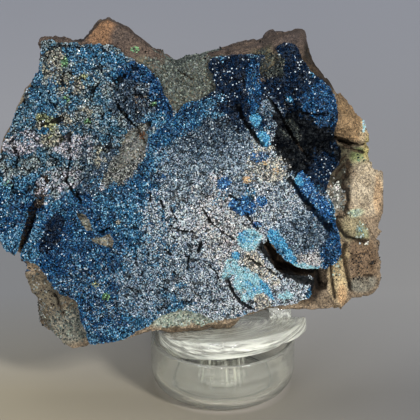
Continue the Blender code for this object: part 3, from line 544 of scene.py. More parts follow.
def clumps(points, size, seed):
    """Cell noise: distance to the nearest of one chance point per cube, in cube sizes, and its cube."""
    scaled = points / size
    base = np.floor(scaled).astype(np.int64)
    nearest, owner = np.full(len(points), 9.0), base.copy()
    for step in itertools.product((-1, 0, 1), repeat=3):
        cell = base + np.array(step)
        chance = np.stack([cell_value(cell, seed + axis) for axis in range(3)], axis=-1)
        distance = np.linalg.norm(cell + chance - scaled, axis=-1)
        closer = distance < nearest
        nearest = np.where(closer, distance, nearest)
        owner[closer] = cell[closer]
    return nearest, owner


def knobs(slab, size, seed):
    """Round humps with sharp valleys: the root of 1 less the squared distance from the cell's middle."""
    distance, _ = clumps(slab, size, seed)
    return np.sqrt(np.clip(1 - (distance / 0.78) ** 2, 0, 1)) - 0.66


def terraces(slab, size, seed, tip=0.0):
    """Steps of broken stone: cells of chance shape, each a plane at its own height and tip.

    The height is from -0.5 to 0.5, plus the tip times the distance from the cell's middle along a
    chance direction.
    """
    bent = slab + 0.5 * np.stack([cloud(slab, size, seed + axis) for axis in range(3)], axis=1)
    _, owner = clumps(bent, size, seed)
    height = cell_value(owner, seed) - 0.5
    for axis in range(3):
        away = bent[:, axis] - size * (owner[:, axis] + cell_value(owner, seed + axis))
        height += tip * away * (cell_value(owner, seed + 10 + axis) - 0.5)
    return height


def high(form, slab, height, *how):
    """A height times a form's value."""
    return height * form(slab, *how)


def to_slab(points):
    """U, W and N in millimetres of points in metres."""
    return (points - SLAB_PLACE) @ SLAB_AXES.T / MM


def on_left_panel(slab):
    """How far a place belongs to the coarse panel left of the slanting seam, from 0 to 1."""
    past_seam = SEAM_ACROSS[1] * (slab[:, 1] - SEAM_PLACE[1]) + SEAM_ACROSS[0] * (slab[:, 0] - SEAM_PLACE[0])
    return smooth(past_seam, -0.6, 0.8) * smooth(-slab[:, 0], 9.0, 12.0)


def crack_depth(slab, cracks):
    """How deep in a crack each place is: 1 on a crack's line, 0 past its ragged half width."""
    ragged = 1 + 0.5 * cloud(slab, 1.3, 61)
    depth = np.zeros(len(slab))
    for width, *line in cracks:
        points = np.array(line).reshape(-1, 2)
        away = np.full(len(slab), 99.0)
        for start, run in zip(points, points[1:] - points[:-1]):
            from_start = slab[:, :2] - start
            along = np.clip(from_start @ run / np.sum(run ** 2), 0, 1)[:, None]
            away = np.minimum(away, np.linalg.norm(from_start - along * run, axis=1))
        depth = np.maximum(depth, 1 - away / (CRACK_REACH * width * ragged))
    return np.clip(depth, 0, 1)


def merged_copy(node):
    """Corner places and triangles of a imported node, with the corners that share a place made one."""
    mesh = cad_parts[node].data
    mesh.calc_loop_triangles()
    places = np.empty(len(mesh.vertices) * 3, np.float32)
    corners = np.empty(len(mesh.loop_triangles) * 3, np.int32)
    mesh.vertices.foreach_get("co", places)
    mesh.loop_triangles.foreach_get("vertices", corners)
    places = places.reshape(-1, 3).astype(float)
    keys = np.round(places / (0.002 * MM)).astype(np.int64)
    _, first, index = np.unique(keys, axis=0, return_index=True, return_inverse=True)
    corners = index.reshape(-1)[corners].reshape(-1, 3)
    flat = (corners == np.roll(corners, 1, axis=1)).any(axis=1)
    return places[first], corners[~flat]


def edges_of(corners, count):
    """Each edge once, as its lower and higher corner, and the edge number of every facet's three sides."""
    sides = np.sort(corners[:, [[0, 1], [1, 2], [2, 0]]].reshape(-1, 2), axis=1).astype(np.int64)
    keys, index = np.unique(sides[:, 0] * count + sides[:, 1], return_inverse=True)
    return np.stack([keys // count, keys % count], axis=1), index.reshape(-1, 3)


def refined(places, corners, longest, inside=None):
    """Halve every edge longer than the longest allowed, again and again, and cut the facets to suit.

    Where a test of facets' middles is given, only the edges of facets that pass it are halved.
    """
    while True:
        edges, index = edges_of(corners, len(places))
        ends = places[edges]
        long = np.linalg.norm(ends[:, 0] - ends[:, 1], axis=1) > longest * MM
        if inside is not None:
            wanted = np.zeros(len(edges), bool)
            wanted[index[inside(to_slab(places[corners].mean(axis=1)))]] = True
            long &= wanted
        if not long.any():
            return places, corners
        middles = np.full(len(edges), -1)
        middles[long] = len(places) + np.arange(long.sum())
        places = np.vstack([places, ends[long].mean(axis=1)])
        middle = middles[index]
        split = middle >= 0
        count = split.sum(axis=1)
        turn = np.where(count == 1, split.argmax(axis=1), (split.argmin(axis=1) + 1) % 3)
        order = (np.arange(3) + np.where(count == 3, 0, turn)[:, None]) % 3
        six = np.hstack([np.take_along_axis(of_each, order, axis=1) for of_each in (corners, middle)])
        corners = np.vstack([corners[count == 0], *(six[count == halved][:, pick] for halved, pick in CUTS)])


def sums_at(index, values, count):
    """The sum at each place of the values that an index sends there, axis by axis."""
    return np.stack([np.bincount(index, part, minlength=count) for part in values.T], axis=1)


def facing(places, corners):
    """The outward direction at each corner: the sum of its facets' crossed sides, made one long."""
    a, b, c = places[corners].transpose(1, 0, 2)
    return one_long(sums_at(corners.ravel(), np.repeat(np.cross(b - a, c - a), 3, axis=0), len(places)))


def relaxed(places, corners, rounds, most):
    """Draw each corner towards the mean of its neighbours, but never further than most."""
    sides, _ = edges_of(corners, len(places))
    count = np.bincount(sides.ravel(), minlength=len(places))[:, None]
    moved = places.copy()
    for _ in range(rounds):
        near = np.vstack([moved[sides[:, 1]], moved[sides[:, 0]]])
        moved += 0.5 * (sums_at(sides.T.ravel(), near, len(places)) / count - moved)
    step = moved - places
    length = np.maximum(np.linalg.norm(step, axis=1, keepdims=True), 1e-12)
    return places + step * np.minimum(1, most * MM / length)


def new_mesh(name, places, faces, crease=None):
    """A mesh from whole arrays: corner places, and faces that all have the same number of corners.

    Where an angle in degrees is given, it is shaded smooth, with sharp edges past that angle.
    """
    mesh = bpy.data.meshes.new(name)
    count, sides = faces.shape
    mesh.vertices.add(len(places))
    mesh.vertices.foreach_set("co", np.clip(places, CAD_LOW, CAD_HIGH).astype(np.float32).ravel())
    mesh.loops.add(count * sides)
    mesh.loops.foreach_set("vertex_index", faces.astype(np.int32).ravel())
    mesh.polygons.add(count)
    mesh.polygons.foreach_set("loop_start", np.arange(0, count * sides, sides, dtype=np.int32))
    mesh.polygons.foreach_set("use_smooth", np.full(count, crease is not None))
    mesh.update(calc_edges=True)
    if crease is not None:
        mesh.set_sharp_from_angle(angle=math.radians(crease))
    return mesh


def note(mesh, name, values):
    """Keep a number or a colour for each corner place under an attribute's name."""
    kind, key = ("FLOAT", "value") if values.ndim == 1 else ("FLOAT_COLOR", "color")
    if values.ndim == 2:
        values = np.column_stack([values, np.ones(len(values))])
    mesh.attributes.new(name, kind, "POINT").data.foreach_set(key, values.astype(np.float32).ravel())


def add_piece(name, mesh, material):
    """Put a finished mesh in the scene, riding on the one body."""
    piece = bpy.data.objects.new(name, mesh)
    bpy.context.scene.collection.objects.link(piece)
    mesh.materials.append(material)
    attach(piece, "root")
    return piece


def zone_members(slab, u, w, half_along, half_across, turn):
    """The places in a slanted ellipse with a ragged edge, and how far inside each lies, from 0 to 1."""
    angle = math.radians(turn)
    du, dw = slab[:, 0] - u, slab[:, 1] - w
    along = (du * math.cos(angle) + dw * math.sin(angle)) / half_along
    across = (dw * math.cos(angle) - du * math.sin(angle)) / half_across
    away = np.hypot(along, across)
    near = np.flatnonzero(away < 1.6)
    ragged = 0.32 * cloud(slab[near], 2.2, 17)
    return near, 1 - smooth(away[near] + ragged, 0.75, 1.25)


def palette_colours(palette, pick):
    """The colour that each chance number picks from a palette's shares."""
    table = np.array(PALETTES[palette])
    place = np.searchsorted(np.cumsum(table[:, 0]), pick - 1e-6)
    return table[np.minimum(place, len(table) - 1), 1:]


def zone_colours(slab, zones, patches, together, rng):
    """A colour and a gloss for each crystal, how far the zones take it in and how solid its place looks.

    Zone after zone, colours are blended in by smooth(strength times reach less a chance number), which
    is shared to some part by the crystals of one knob, so a zone's weaker parts break up into knobs.
    """
    pick, luck = rng.random((2, len(slab)))
    owner = clumps(slab, *patches)[1]
    found = np.zeros((len(slab), 6))
    for number, (palette, *place, strength) in enumerate(zones):
        near, reach = zone_members(slab, *place)
        chance = together * cell_value(owner[near], 300 + number) + (1 - together) * luck[near]
        part = smooth(1.14 * strength * reach - chance, -0.14, 0.14)[:, None]
        looks = np.full((len(near), 3), (GLOSS.get(palette, 0.3), 1.0, FILL.get(palette, 0.2)))
        found[near] += (np.column_stack([palette_colours(palette, pick[near]), looks]) - found[near]) * part
    colours, (gloss, cover, fill) = found[:, :3], found[:, 3:].T
    uneven = (UNEVEN * (1 - fill))[:, None] * rng.uniform(-1, 1, (len(slab), 1))
    colours = colours * (1 + uneven) * rng.uniform(1 - TINGED, 1 + TINGED, (len(slab), 3))
    # Sparkles: a few crystals get full gloss and a painted glint, their colour painted pale
    share = SPARKLE_SHARE * (1 + smooth(-gloss, -0.2, -0.13))
    sparkle = (rng.random(len(slab)) < share) * smooth(gloss, 0.04, 0.12)
    colours += (np.array(GLINT_PAINT_COLOUR) - colours) * GLINT_PAINT_PART * sparkle[:, None]
    return colours, np.maximum(gloss, sparkle), cover, fill


class Wire:
    """One output of a shader node; sums with it add Math nodes."""

    def __init__(self, tree, socket):
        self.tree, self.socket = tree, socket

    def maths(self, operation, *others):
        made = self.tree.nodes.new("ShaderNodeMath")
        made.operation = operation
        for socket, value in zip(made.inputs, (self, *others)):
            feed(self.tree, socket, value)
        return Wire(self.tree, made.outputs[0])

    def __add__(self, other):
        return self.maths("ADD", other)

    def __mul__(self, other):
        return self.maths("MULTIPLY", other)

    def __sub__(self, other):
        return self.maths("SUBTRACT", other)

    def __rsub__(self, other):
        return (self * -1.0) + other

    def __truediv__(self, other):
        return self.maths("DIVIDE", other)

    __radd__, __rmul__ = __add__, __mul__

    def clamped(self):
        return self.maths("MAXIMUM", 0.0).maths("MINIMUM", 1.0)


def feed(tree, socket, value):
    """Link a wire to a socket, or set the socket's own value."""
    if isinstance(value, Wire):
        tree.links.new(value.socket, socket)
    elif hasattr(value, "__len__") and len(value) == 3 and len(socket.default_value) == 4:
        socket.default_value = (*value, 1.0)
    elif hasattr(socket.default_value, "__len__") and not hasattr(value, "__len__"):
        socket.default_value = (value,) * len(socket.default_value)
    else:
        socket.default_value = value


class Finish:
    """A material in the making: its nodes, and its one Principled shader."""

    def __init__(self, name):
        self.material = bpy.data.materials.new(name)
        self.material.use_nodes = True
        self.tree = self.material.node_tree
        self.shader = self.tree.nodes["Principled BSDF"]

    def fill(self, node, values):
        """Values or wires for a node's sockets, by number, or by name with underlines for spaces."""
        for key, value in values.items():
            feed(self.tree, node.inputs[key.replace("_", " ") if isinstance(key, str) else key], value)

    def add(self, kind, settings=None, output=0, numbered=None, **values):
        """A node of this kind: settings first, then its sockets by number and by name."""
        node = self.tree.nodes.new("ShaderNode" + kind)
        for key, value in (settings or {}).items():
            if key == "stops":
                ramp = node.color_ramp
                while len(ramp.elements) < len(value):
                    ramp.elements.new(0.5)
                for element, (place, shade) in zip(ramp.elements, value):
                    element.position = place
                    element.color = (*(shade if hasattr(shade, "__len__") else (shade,) * 3), 1.0)
            else:
                setattr(node, key, value)
        self.fill(node, {**(numbered or {}), **values})
        return Wire(self.tree, node.outputs[output])

    def set(self, **values):
        """Values or wires for the shader's sockets."""
        self.fill(self.shader, values)
        return self.material

    def over(self, factor, **values):
        """A second shader laid over the first as far as the factor says."""
        shaders = {1: Wire(self.tree, self.shader.outputs[0]), 2: self.add("BsdfPrincipled", **values)}
        blend = self.add("MixShader", numbered={0: factor, **shaders})
        self.tree.links.new(blend.socket, self.tree.nodes["Material Output"].inputs["Surface"])

    def noted(self, name, output="Color"):
        """What the mesh notes under this attribute's name."""
        return self.add("Attribute", {"attribute_name": name}, output)

    def place(self):
        """X, Y and Z of the object's own coordinates, in metres."""
        parts = self.add("SeparateXYZ", Vector=self.add("TexCoord", output="Object"))
        return [Wire(self.tree, socket) for socket in parts.socket.node.outputs]

    def noise(self, scale, detail=2.0, roughness=0.5, turn=(0.0, 0.0, 0.0), stretch=(1.0, 1.0, 1.0)):
        """Noise on the object's own coordinates, scale in waves a metre, turned and then stretched."""
        place = self.add("Mapping", Vector=self.add("TexCoord", output="Object"), Rotation=turn)
        place = self.add("Mapping", Vector=place, Scale=stretch)
        return self.add("TexNoise", Vector=place, Scale=scale, Detail=detail, Roughness=roughness)

    def steps(self, value, *stops):
        """A value sent through stops of grey or colour."""
        return self.add("ValToRGB", {"stops": stops}, Fac=value)

    def mix(self, factor, first, second, blend="MIX"):
        """Two colours blended."""
        settings = {"data_type": "RGBA", "blend_type": blend}
        return self.add("Mix", settings, 2, {0: factor, 6: first, 7: second})

    def bump(self, height, strength, distance):
        """A fine relief for the Normal socket, distance in metres."""
        return self.add("Bump", Height=height, Strength=strength, Distance=distance)


def crystal_material(name, settings):
    """Glassy little crystals: each has its own colour and gloss, under a thin, cloudy film. On the crust
    their colour carries painted shade in hollows, and a few carry a painted glint.
    """
    finish = Finish(name)
    film = finish.steps(finish.noise(900.0, 3.0), (0.45, 0.0), (0.75, 0.10))
    return finish.set(
        Base_Color=finish.mix(film, finish.noted("tint"), (0.30, 0.34, 0.36)),
        Roughness=0.45,
        Specular_IOR_Level=0.05,
        Coat_Weight=finish.noted("gloss", "Fac"),
        Coat_Roughness=0.14,
        Coat_IOR=settings.crystal_ior,
    )


def crust_material():
    """The grown-together bottom of the crust that shows between its crystals, in fine grains of its tint,
    which carries painted shade between the crystals and in hollows.
    """
    finish = Finish("crust between crystals")
    tint, grain = finish.noted("tint"), finish.noise(2400.0, 4.0)
    dark = finish.mix(0.75, tint, BLACK)
    return finish.set(
        Base_Color=finish.mix(finish.steps(grain, (0.35, 0.0), (0.75, 0.6)), dark, tint),
        Roughness=0.5 + grain * 0.4,
        Specular_IOR_Level=0.05,
        Normal=finish.bump(finish.noise(3200.0, 3.0), 0.8, 0.0003),
    )


def rock_material():
    """Broken rock: its stains, which also carry painted shade in cracks and painted shadow in a few recesses,
    with ochre blotches, beds, streaks, pale grains, pits and dark freckles.
    """
    finish = Finish("broken rock")
    stain, streaky = finish.noted("stain"), finish.noted("streaky", "Fac")
    coarse = finish.noise(170.0, 5.0, 0.6)
    grain = finish.noise(2700.0, 4.0, 0.75)
    streaks = finish.noise(1200.0, 3.0, 0.7, (0.0, math.radians(33), 0.0), (1.0, 0.5, 0.13))
    beds = finish.noise(500.0, 3.0, 0.6, (-SLAB_LEAN, 0.0, 0.0), (0.08, 1.0, 0.08))
    ochre = finish.mix(0.5, stain, (0.34, 0.22, 0.13))
    colour = finish.mix(finish.steps(coarse, (0.36, 0.0), (0.64, 0.3)), stain, ochre)
    darker = finish.mix(1.0, colour, (0.34, 0.31, 0.28), "MULTIPLY")
    paler = finish.mix(1.0, colour, (1.75, 1.7, 1.55), "MULTIPLY")
    for factor, layer in (
        (finish.steps(beds, (0.40, 0.35), (0.60, 0.0)), darker),
        (finish.steps(streaks, (0.36, 0.85), (0.50, 0.0)) * streaky, darker),
        (finish.steps(streaks, (0.54, 0.0), (0.72, 0.9)) * streaky, paler),
        (finish.steps(grain, (0.50, 0.0), (0.62, 1.0)), paler),
        (finish.steps(grain, (0.36, 0.95), (0.48, 0.0)), finish.mix(0.85, stain, BLACK)),
        (finish.steps(finish.noise(1900.0), (0.28, 0.8), (0.34, 0.0)), (0.05, 0.038, 0.028)),
    ):
        colour = finish.mix(factor, colour, layer)
    return finish.set(
        Base_Color=colour,
        Roughness=0.6 + grain * 0.35,
        Specular_IOR_Level=0.2,
        Normal=finish.bump(grain + coarse * 0.4 + streaks * 0.5, 0.8, 0.0005),
    )


def plastic_material(name, settings, clearness, wavy):
    """Clear, faintly yellow moulded plastic with handling marks, moulding waves and frosted streaks.

    Streaks run upright on the boss, which is whatever lies near the middle. Elsewhere they run in arcs
    round the middle, below the height of the prongs, as far as wavy says. The groove's ring is darker.
    The darker streaks and the ring are painted shade: for the refraction streaks and the groove's shadow.
    """
    finish = Finish(name)
    scratches = finish.noise(420.0, 6.0, 0.7)
    upright = finish.noise(850.0, 2.0, 0.6, stretch=(1.0, 1.0, 0.02))
    across, along, height = finish.place()
    apart = across * across + along * along
    round_middle = finish.add("CombineXYZ", X=apart.maths("POWER", 0.5), Y=across * 0.05, Z=height)
    arcs = finish.add("TexNoise", Vector=round_middle, Scale=1500.0, Detail=3.0, Roughness=0.6)
    boss = finish.steps(apart / (BOSS_FOOT_RADIUS * 1.1 * MM) ** 2, (0.9, 1.0), (1.0, 0.0))
    low = finish.steps(height / 0.04, (0.42, 1.0), (0.48, 0.0))
    ring = finish.steps(apart / (2 * (RECESS_RADIUS * MM) ** 2),
                        (0.47, 0.0), (0.49, 1.0), (0.51, 1.0), (0.53, 0.0))
    # Painted shade in the base colour: dark upright streaks on the boss, the groove's dark ring and dark arcs
    shaded = finish.steps(upright, (0.40, 1.0), (0.48, 0.0)) * boss * 0.7
    shaded += ring * finish.steps(height / 0.004, (0.4, 0.9), (0.6, 0.0))
    shaded += finish.steps(arcs, (0.36, 0.5), (0.48, 0.0)) * low * (1 - boss) * wavy
    frost = finish.steps(upright, (0.56, 0.0), (0.60, 0.75)) * boss * (1 - wavy)
    frost += (finish.steps(arcs, (0.44, 0.12), (0.62, 0.85)) * low + (1 - low) * 0.18) * wavy
    finish.over(frost.clamped(), Base_Color=(0.86, 0.87, 0.77), Roughness=0.3)
    return finish.set(
        Base_Color=finish.mix(shaded.clamped(), tuple(settings.plastic_tint), (0.25, 0.26, 0.25)),
        Roughness=finish.steps(scratches, (0.40, 0.02), (0.75, 0.14)),
        IOR=1.49,
        Transmission_Weight=clearness,
        Normal=finish.bump(upright * boss * 0.3 + arcs * (1 - boss) * low * wavy, 0.5, 0.0008),
    )


def floor_material(settings):
    """A pale floor with painted light and shade: a painted pool of warm light at the front left, painted
    shadow at the front right, painted light on the left just behind the stand, and cool and pale further
    behind.

    It is brighter under the cup: a painted pool of light for the light that the cup gathers there.
    """
    finish = Finish("pale floor")
    across, along, _ = finish.place()
    near, dusk, middle, far = (
        tuple(getattr(settings, name + "_colour")) for name in ("near", "dusk", "middle", "far"))
    to_right = (across + 0.045) / 0.09
    front = finish.mix(finish.steps(to_right, (0.0, 0.0), (1.0, 1.0)), near, dusk)
    # Painted light and shade: a warm pool of light at the front left, shadow at the front right, and light on
    # the left just behind the stand
    side = finish.steps(to_right, (0.0, tuple(1.28 * part for part in middle)), (1.0, middle))
    back = finish.mix(finish.steps((along - 0.05) / 0.25, (0.0, 0.0), (1.0, 1.0)), side, far)
    plain = finish.mix(finish.steps((along + 0.005) / 0.05, (0.0, 0.0), (1.0, 1.0)), front, back)
    # Painted pool of light under the cup
    apart = (across * across + along * along) / (CUP_RADIUS * MM) ** 2
    lit = finish.mix(1.0, plain, (1.45, 1.45, 1.55), "MULTIPLY")
    return finish.set(
        Base_Color=finish.mix(finish.steps(apart, (0.75, 1.0), (0.95, 0.0)), plain, lit), Roughness=0.6)


def crust_relief(slab):
    """How far the crust stands out, in millimetres, and how much light its hollows get, at most 1: a factor
    of painted shade for the crust's colours.

    The height is that of round knobs of two or three sizes, plus smooth noise, less the depth of a
    crack; on the left panel the knobs are wider and higher. Valleys between knobs, and cracks, are painted
    dark as painted shade.
    """
    panel = on_left_panel(slab)
    low_dome = (1 - smooth(slab[:, 1], 18.0, 32.0)) * (1 - panel)
    face_knobs, panel_knobs = knobs(slab, *FACE_KNOBS), knobs(slab, *PANEL_KNOBS)
    grit = high(cloud, slab, *CRUST_GRIT)
    crack = crack_depth(slab, CRACKS)
    height = PANEL_KNOB_HEIGHT * panel * panel_knobs
    height += (FACE_KNOB_HEIGHT + 0.20 * low_dome) * (1 - 0.5 * panel) * face_knobs
    height += DOME_KNOB_HEIGHT * low_dome * knobs(slab, *DOME_KNOBS)
    height += high(cloud, slab, *CRUST_WAVES) + grit - CRUST_CRACK_DEPTH * crack
    # Painted shade: opened says how open a place is; dark is the light at the bottom of the deepest valleys
    opened = panel * panel_knobs + (1 - panel) * face_knobs + 1.4 * grit
    dark = 0.26 - 0.02 * panel
    light = dark + (1 - dark) * smooth(opened, -0.66, -0.02 + 0.10 * panel)
    return height, light * (1 - 0.85 * crack)


def raised(points, out):
    """Points of the crust's bare skin moved out by its relief, the relief's own direction, and its light, a
    factor of painted shade.

    The direction is the skin's, less the height's slope along two crossed directions on the skin. The
    relief fades where the skin turns away from the slab's face.
    """
    height, light = crust_relief(to_slab(points))
    front = smooth(out @ SLAB_AXES[2], -0.5, 0.1)
    side = one_long(np.cross(out, (0.31, 0.52, 0.80)))
    tipped, step = out.copy(), 0.12
    for way in (side, np.cross(out, side)):
        beside, _ = crust_relief(to_slab(points + step * MM * way))
        tipped -= (front * (beside - height) / step)[:, None] * way
    return points + out * (height * front * MM)[:, None], one_long(tipped), light


def scattered(places, corners, weight, spacing, seed):
    """Points on a skin with their facets: of many chance points, each cube of this size keeps one.

    A second pass with cubes half a step further on thins out the points that are still too close.
    """
    rng = np.random.default_rng(seed)
    a, b, c = places[corners].transpose(1, 0, 2)
    share = np.linalg.norm(np.cross(b - a, c - a), axis=1) * weight
    count = int(share.sum() / 2 / (spacing * MM) ** 2 * 6)
    chosen = rng.choice(len(corners), count, p=share / share.sum())
    s, t = rng.random((2, count, 1))
    over = s + t > 1
    s, t = np.where(over, 1 - s, s), np.where(over, 1 - t, t)
    points = a[chosen] + s * (b - a)[chosen] + t * (c - a)[chosen]
    widest = 8192
    for shift in (0.0, 0.5):
        cells = np.floor(points / (spacing * MM) + shift).astype(np.int64) + widest // 2
        first = np.unique(cells @ np.array((1, widest, widest ** 2)), return_index=True)[1]
        points, chosen = points[first], chosen[first]
    return points, chosen, rng


def crystal_blocks(points, out, sizes, spread, rng):
    """Tapered blocks on a skin, one per point, each tipped by chance from the skin's direction.

    A block's corner is its point, plus its width times the unit block's corner turned into three
    crossed directions: the tipped one, and two that a chance turn gives around it.
    """
    count = len(points)
    axis = one_long(out + spread * rng.normal(size=(count, 3)))
    side = one_long(np.cross(axis, rng.normal(size=(count, 3))))
    shape = np.repeat(BLOCK[None], count, axis=0)
    taper = rng.uniform(*TAPERS, (count, 1, 1))
    shape[:, 4:, :2] = shape[:, 4:, :2] * taper + rng.uniform(*LEANS, (count, 1, 2))
    shape[:, :, 0] *= rng.uniform(*BREADTHS, (count, 1))
    shape[:, :, 2] *= rng.uniform(*LENGTHS, (count, 1))
    ways = (side, np.cross(axis, side), axis)
    turned_shape = sum(shape[:, :, part, None] * way[:, None] for part, way in enumerate(ways))
    places = points[:, None] + turned_shape * sizes[:, None, None] * MM
    faces = BLOCK_FACES[None] + 8 * np.arange(count)[:, None, None]
    return places.reshape(-1, 3), faces.reshape(-1, 4)


def scatter_crystals(label, skin, where, zones, spacing, patches, spread, seed, material, slot):
    """Crystals on the chosen facets of a skin, in pieces of no more triangles than one may have.

    Cracks stay clear of them. On the crust they are raised with it, and painted darker in its hollows as
    painted shade, but less so where its place looks solid.
    """
    places, corners = skin
    points, facets, rng = scattered(places, corners, where.astype(float), spacing, seed)
    spot = to_slab(points)
    *knobs_of, together = patches
    colours, gloss, cover, fill = zone_colours(spot, zones, knobs_of, together, rng)
    crack = crack_depth(spot, CRACKS if slot == "crust" else ROCK_CRACKS)
    kept = (rng.random(len(points)) < cover) & (rng.random(len(points)) > 2.4 * crack - 0.2)
    points, facets, spot, colours, gloss, fill = (
        of_each[kept] for of_each in (points, facets, spot, colours, gloss, fill))
    direction = one_long(facing(places, corners)[corners[facets]].mean(axis=1))
    if slot == "crust":
        points, direction, light = raised(points, direction)
        # Painted shade: crystals darker in the crust's hollows, less so where the place looks solid
        colours = colours * (light + (1 - light) * 0.7 * smooth(fill, 0.2, 0.9))[:, None]
    sizes = spacing * rng.uniform(0.8, 1.2, len(points))
    order = np.argsort(spot[:, 0], kind="stable")
    pieces = max(1, math.ceil(len(points) * BLOCK_TRIANGLES / MOST_TRIANGLES))
    for number, band in enumerate(np.array_split(order, pieces)):
        name = f"{label}_{number + 1}"
        mesh = new_mesh(name, *crystal_blocks(points[band], direction[band], sizes[band], spread, rng))
        note(mesh, "tint", np.repeat(colours[band], 8, axis=0))
        note(mesh, "gloss", np.repeat(gloss[band], 8))
        add_piece(name, mesh, material)


def arc(middle, halves, start, end, steps):
    """Points on a stretch of an ellipse: middle plus (half width cos t, half height sin t), t in degrees."""
    turn = np.radians(np.linspace(start, end, steps))
    return [(middle[0] + halves[0] * math.cos(t), middle[1] + halves[1] * math.sin(t)) for t in turn]


def closed_rings(rings, first, last):
    """Corner places and triangles of a skin over rings of points, closed by a fan to a point at each end."""
    count, steps = len(rings), len(rings[0])
    here = np.arange(steps)
    after = (here + 1) % steps
    faces = []
    for base in range(0, (count - 1) * steps, steps):
        above = base + steps
        faces += [(base + here, base + after, above + after), (base + here, above + after, above + here)]
    end, pole = (count - 1) * steps, np.full(steps, count * steps)
    faces += [(pole, after, here), (pole + 1, end + here, end + after)]
    return np.vstack([*rings, [first], [last]]), np.vstack([np.stack(face, axis=1) for face in faces])


def cup_profile():
    """The cup's half section as radius and height, from the boss's top round to the middle of the foot."""
    inner, rim = CUP_RADIUS - CUP_WALL, CUP_WALL / 2
    soft, heel = BOSS_ROUNDING, HEEL_HEIGHT - FLOOR_THICKNESS
    return MM * np.array([
        (0.0, BOSS_HEIGHT),
        *arc((BOSS_RADIUS - soft, BOSS_HEIGHT - soft), (soft, soft), 90, 0, 5),
        *arc((BOSS_FOOT_RADIUS + soft, FLOOR_THICKNESS + soft), (soft, soft), 180, 270, 5),
        (RECESS_RADIUS - GROOVE_HALF, FLOOR_THICKNESS),
        (RECESS_RADIUS, FLOOR_THICKNESS - RECESS_DEPTH),
        (RECESS_RADIUS + GROOVE_HALF, FLOOR_THICKNESS),
        *arc((FLOOR_RADIUS, HEEL_HEIGHT), (inner - FLOOR_RADIUS, heel), -90, 0, 14),
        *arc((CUP_RADIUS - rim, CUP_HEIGHT - rim), (rim, rim), 180, 0, 11),
        *arc((FOOT_RADIUS, HEEL_HEIGHT), (CUP_RADIUS - FOOT_RADIUS, HEEL_HEIGHT), 0, -90, 16),
        (RECESS_RADIUS + RECESS_DEPTH, 0.0),
        (RECESS_RADIUS, RECESS_DEPTH),
        (0.0, RECESS_DEPTH),
    ])


def turned(profile, steps):
    """A profile carried round the Z axis: place = (radius cos t, radius sin t, height), poles closed.

    On the boss the radius is less by up to 6 parts in 100, as scallops: 1 less the size of cos 8t.
    """
    turn = np.linspace(0, 2 * math.pi, steps, endpoint=False)
    radii, heights = profile[1:-1, :1], profile[1:-1, 1:]
    boss = (radii < BOSS_FOOT_RADIUS * MM) & (heights > (FLOOR_THICKNESS + 0.3) * MM)
    radii = radii * (1 - boss * (0.035 + 0.025 * np.cos(3 * turn + 1)) * (1 - np.abs(np.cos(8 * turn))))
    rings = np.stack([radii * np.cos(turn), radii * np.sin(turn), np.repeat(heights, steps, axis=1)], axis=-1)
    places, faces = closed_rings(rings, (0.0, 0.0, profile[0, 1]), (0.0, 0.0, profile[-1, 1]))
    return places, faces[:, ::-1]


def rounded_slab(outline, low, high):
    """A flat outline made thick, with round edges.

    Ring by ring the outline is drawn in by radius (1 - cos t) while its height turns by radius sin t;
    a fan from the middle closes each end.
    """
    outline, radius = np.array(outline), EDGE_ROUNDING
    first = one_long(outline - np.roll(outline, 1, axis=0))
    second = one_long(np.roll(outline, -1, axis=0) - outline)
    inward = np.stack([-first[:, 1] - second[:, 1], first[:, 0] + second[:, 0]], axis=1)
    inward /= np.maximum(1 + (first * second).sum(axis=1), 0.35)[:, None]
    turn = np.radians(np.linspace(0, 90, 5))
    draws = [(radius * (1 - math.sin(t)), low + radius * (1 - math.cos(t))) for t in turn]
    draws += [(draw, high + low - height) for draw, height in reversed(draws)]
    level = np.ones(len(outline))
    rings = [np.column_stack([outline + draw * inward, height * level]) for draw, height in draws]
    middle = outline.mean(axis=0)
    places, faces = closed_rings(rings, (*middle, low), (*middle, high))
    return places * MM, faces


def turn_about(axis, angle):
    """A turn about X or Y as a matrix."""
    c, s = math.cos(angle), math.sin(angle)
    if axis == "X":
        return np.array(((1, 0, 0), (0, c, -s), (0, s, c)))
    return np.array(((c, 0, s), (0, 1, 0), (-s, 0, c)))


def head_parts():
    """The head's shapes in the world, still overlapping: ledge, plug, back bar and two prongs."""
    head = turn_about("Y", -HEAD_ROLL) @ turn_about("X", -HEAD_TILT)
    lean = turn_about("X", math.radians(90) - SLAB_LEAN + HEAD_TILT)
    half = PRONG_WIDTH / 2
    end = PRONG_SPREAD + half
    bar = ((-end, BAR_FRONT), (end, BAR_FRONT), (end, BAR_DEPTH), (-end, BAR_DEPTH))
    shapes = [
        (arc((0.0, 0.0), (LEDGE_RADIUS,) * 2, 180, 360, 72), -LEDGE_THICKNESS, 0.0),
        (arc(PLUG_CENTRE, (PLUG_RADIUS,) * 2, 0, 360, 97)[:-1], -PLUG_BOTTOM, -PLUG_TOP),
        (bar, -BAR_BOTTOM, -BAR_TOP),
    ]
    for middle in (-PRONG_SPREAD, PRONG_SPREAD):
        prong = [(middle - half, PRONG_ROOT), (middle + half, PRONG_ROOT)]
        prong += arc((middle, PRONG_HEIGHT - half), (half, half), 0, 180, 25)
        shapes.append((prong, -PRONG_THICKNESS, 0.0))
    for number, shape in enumerate(shapes):
        places, faces = rounded_slab(*shape)
        if number > 2:
            places = places @ lean.T + np.array((0.0, PRONG_FRONT, 0.0)) * MM
        yield places @ head.T + HEAD_PLACE * MM, faces


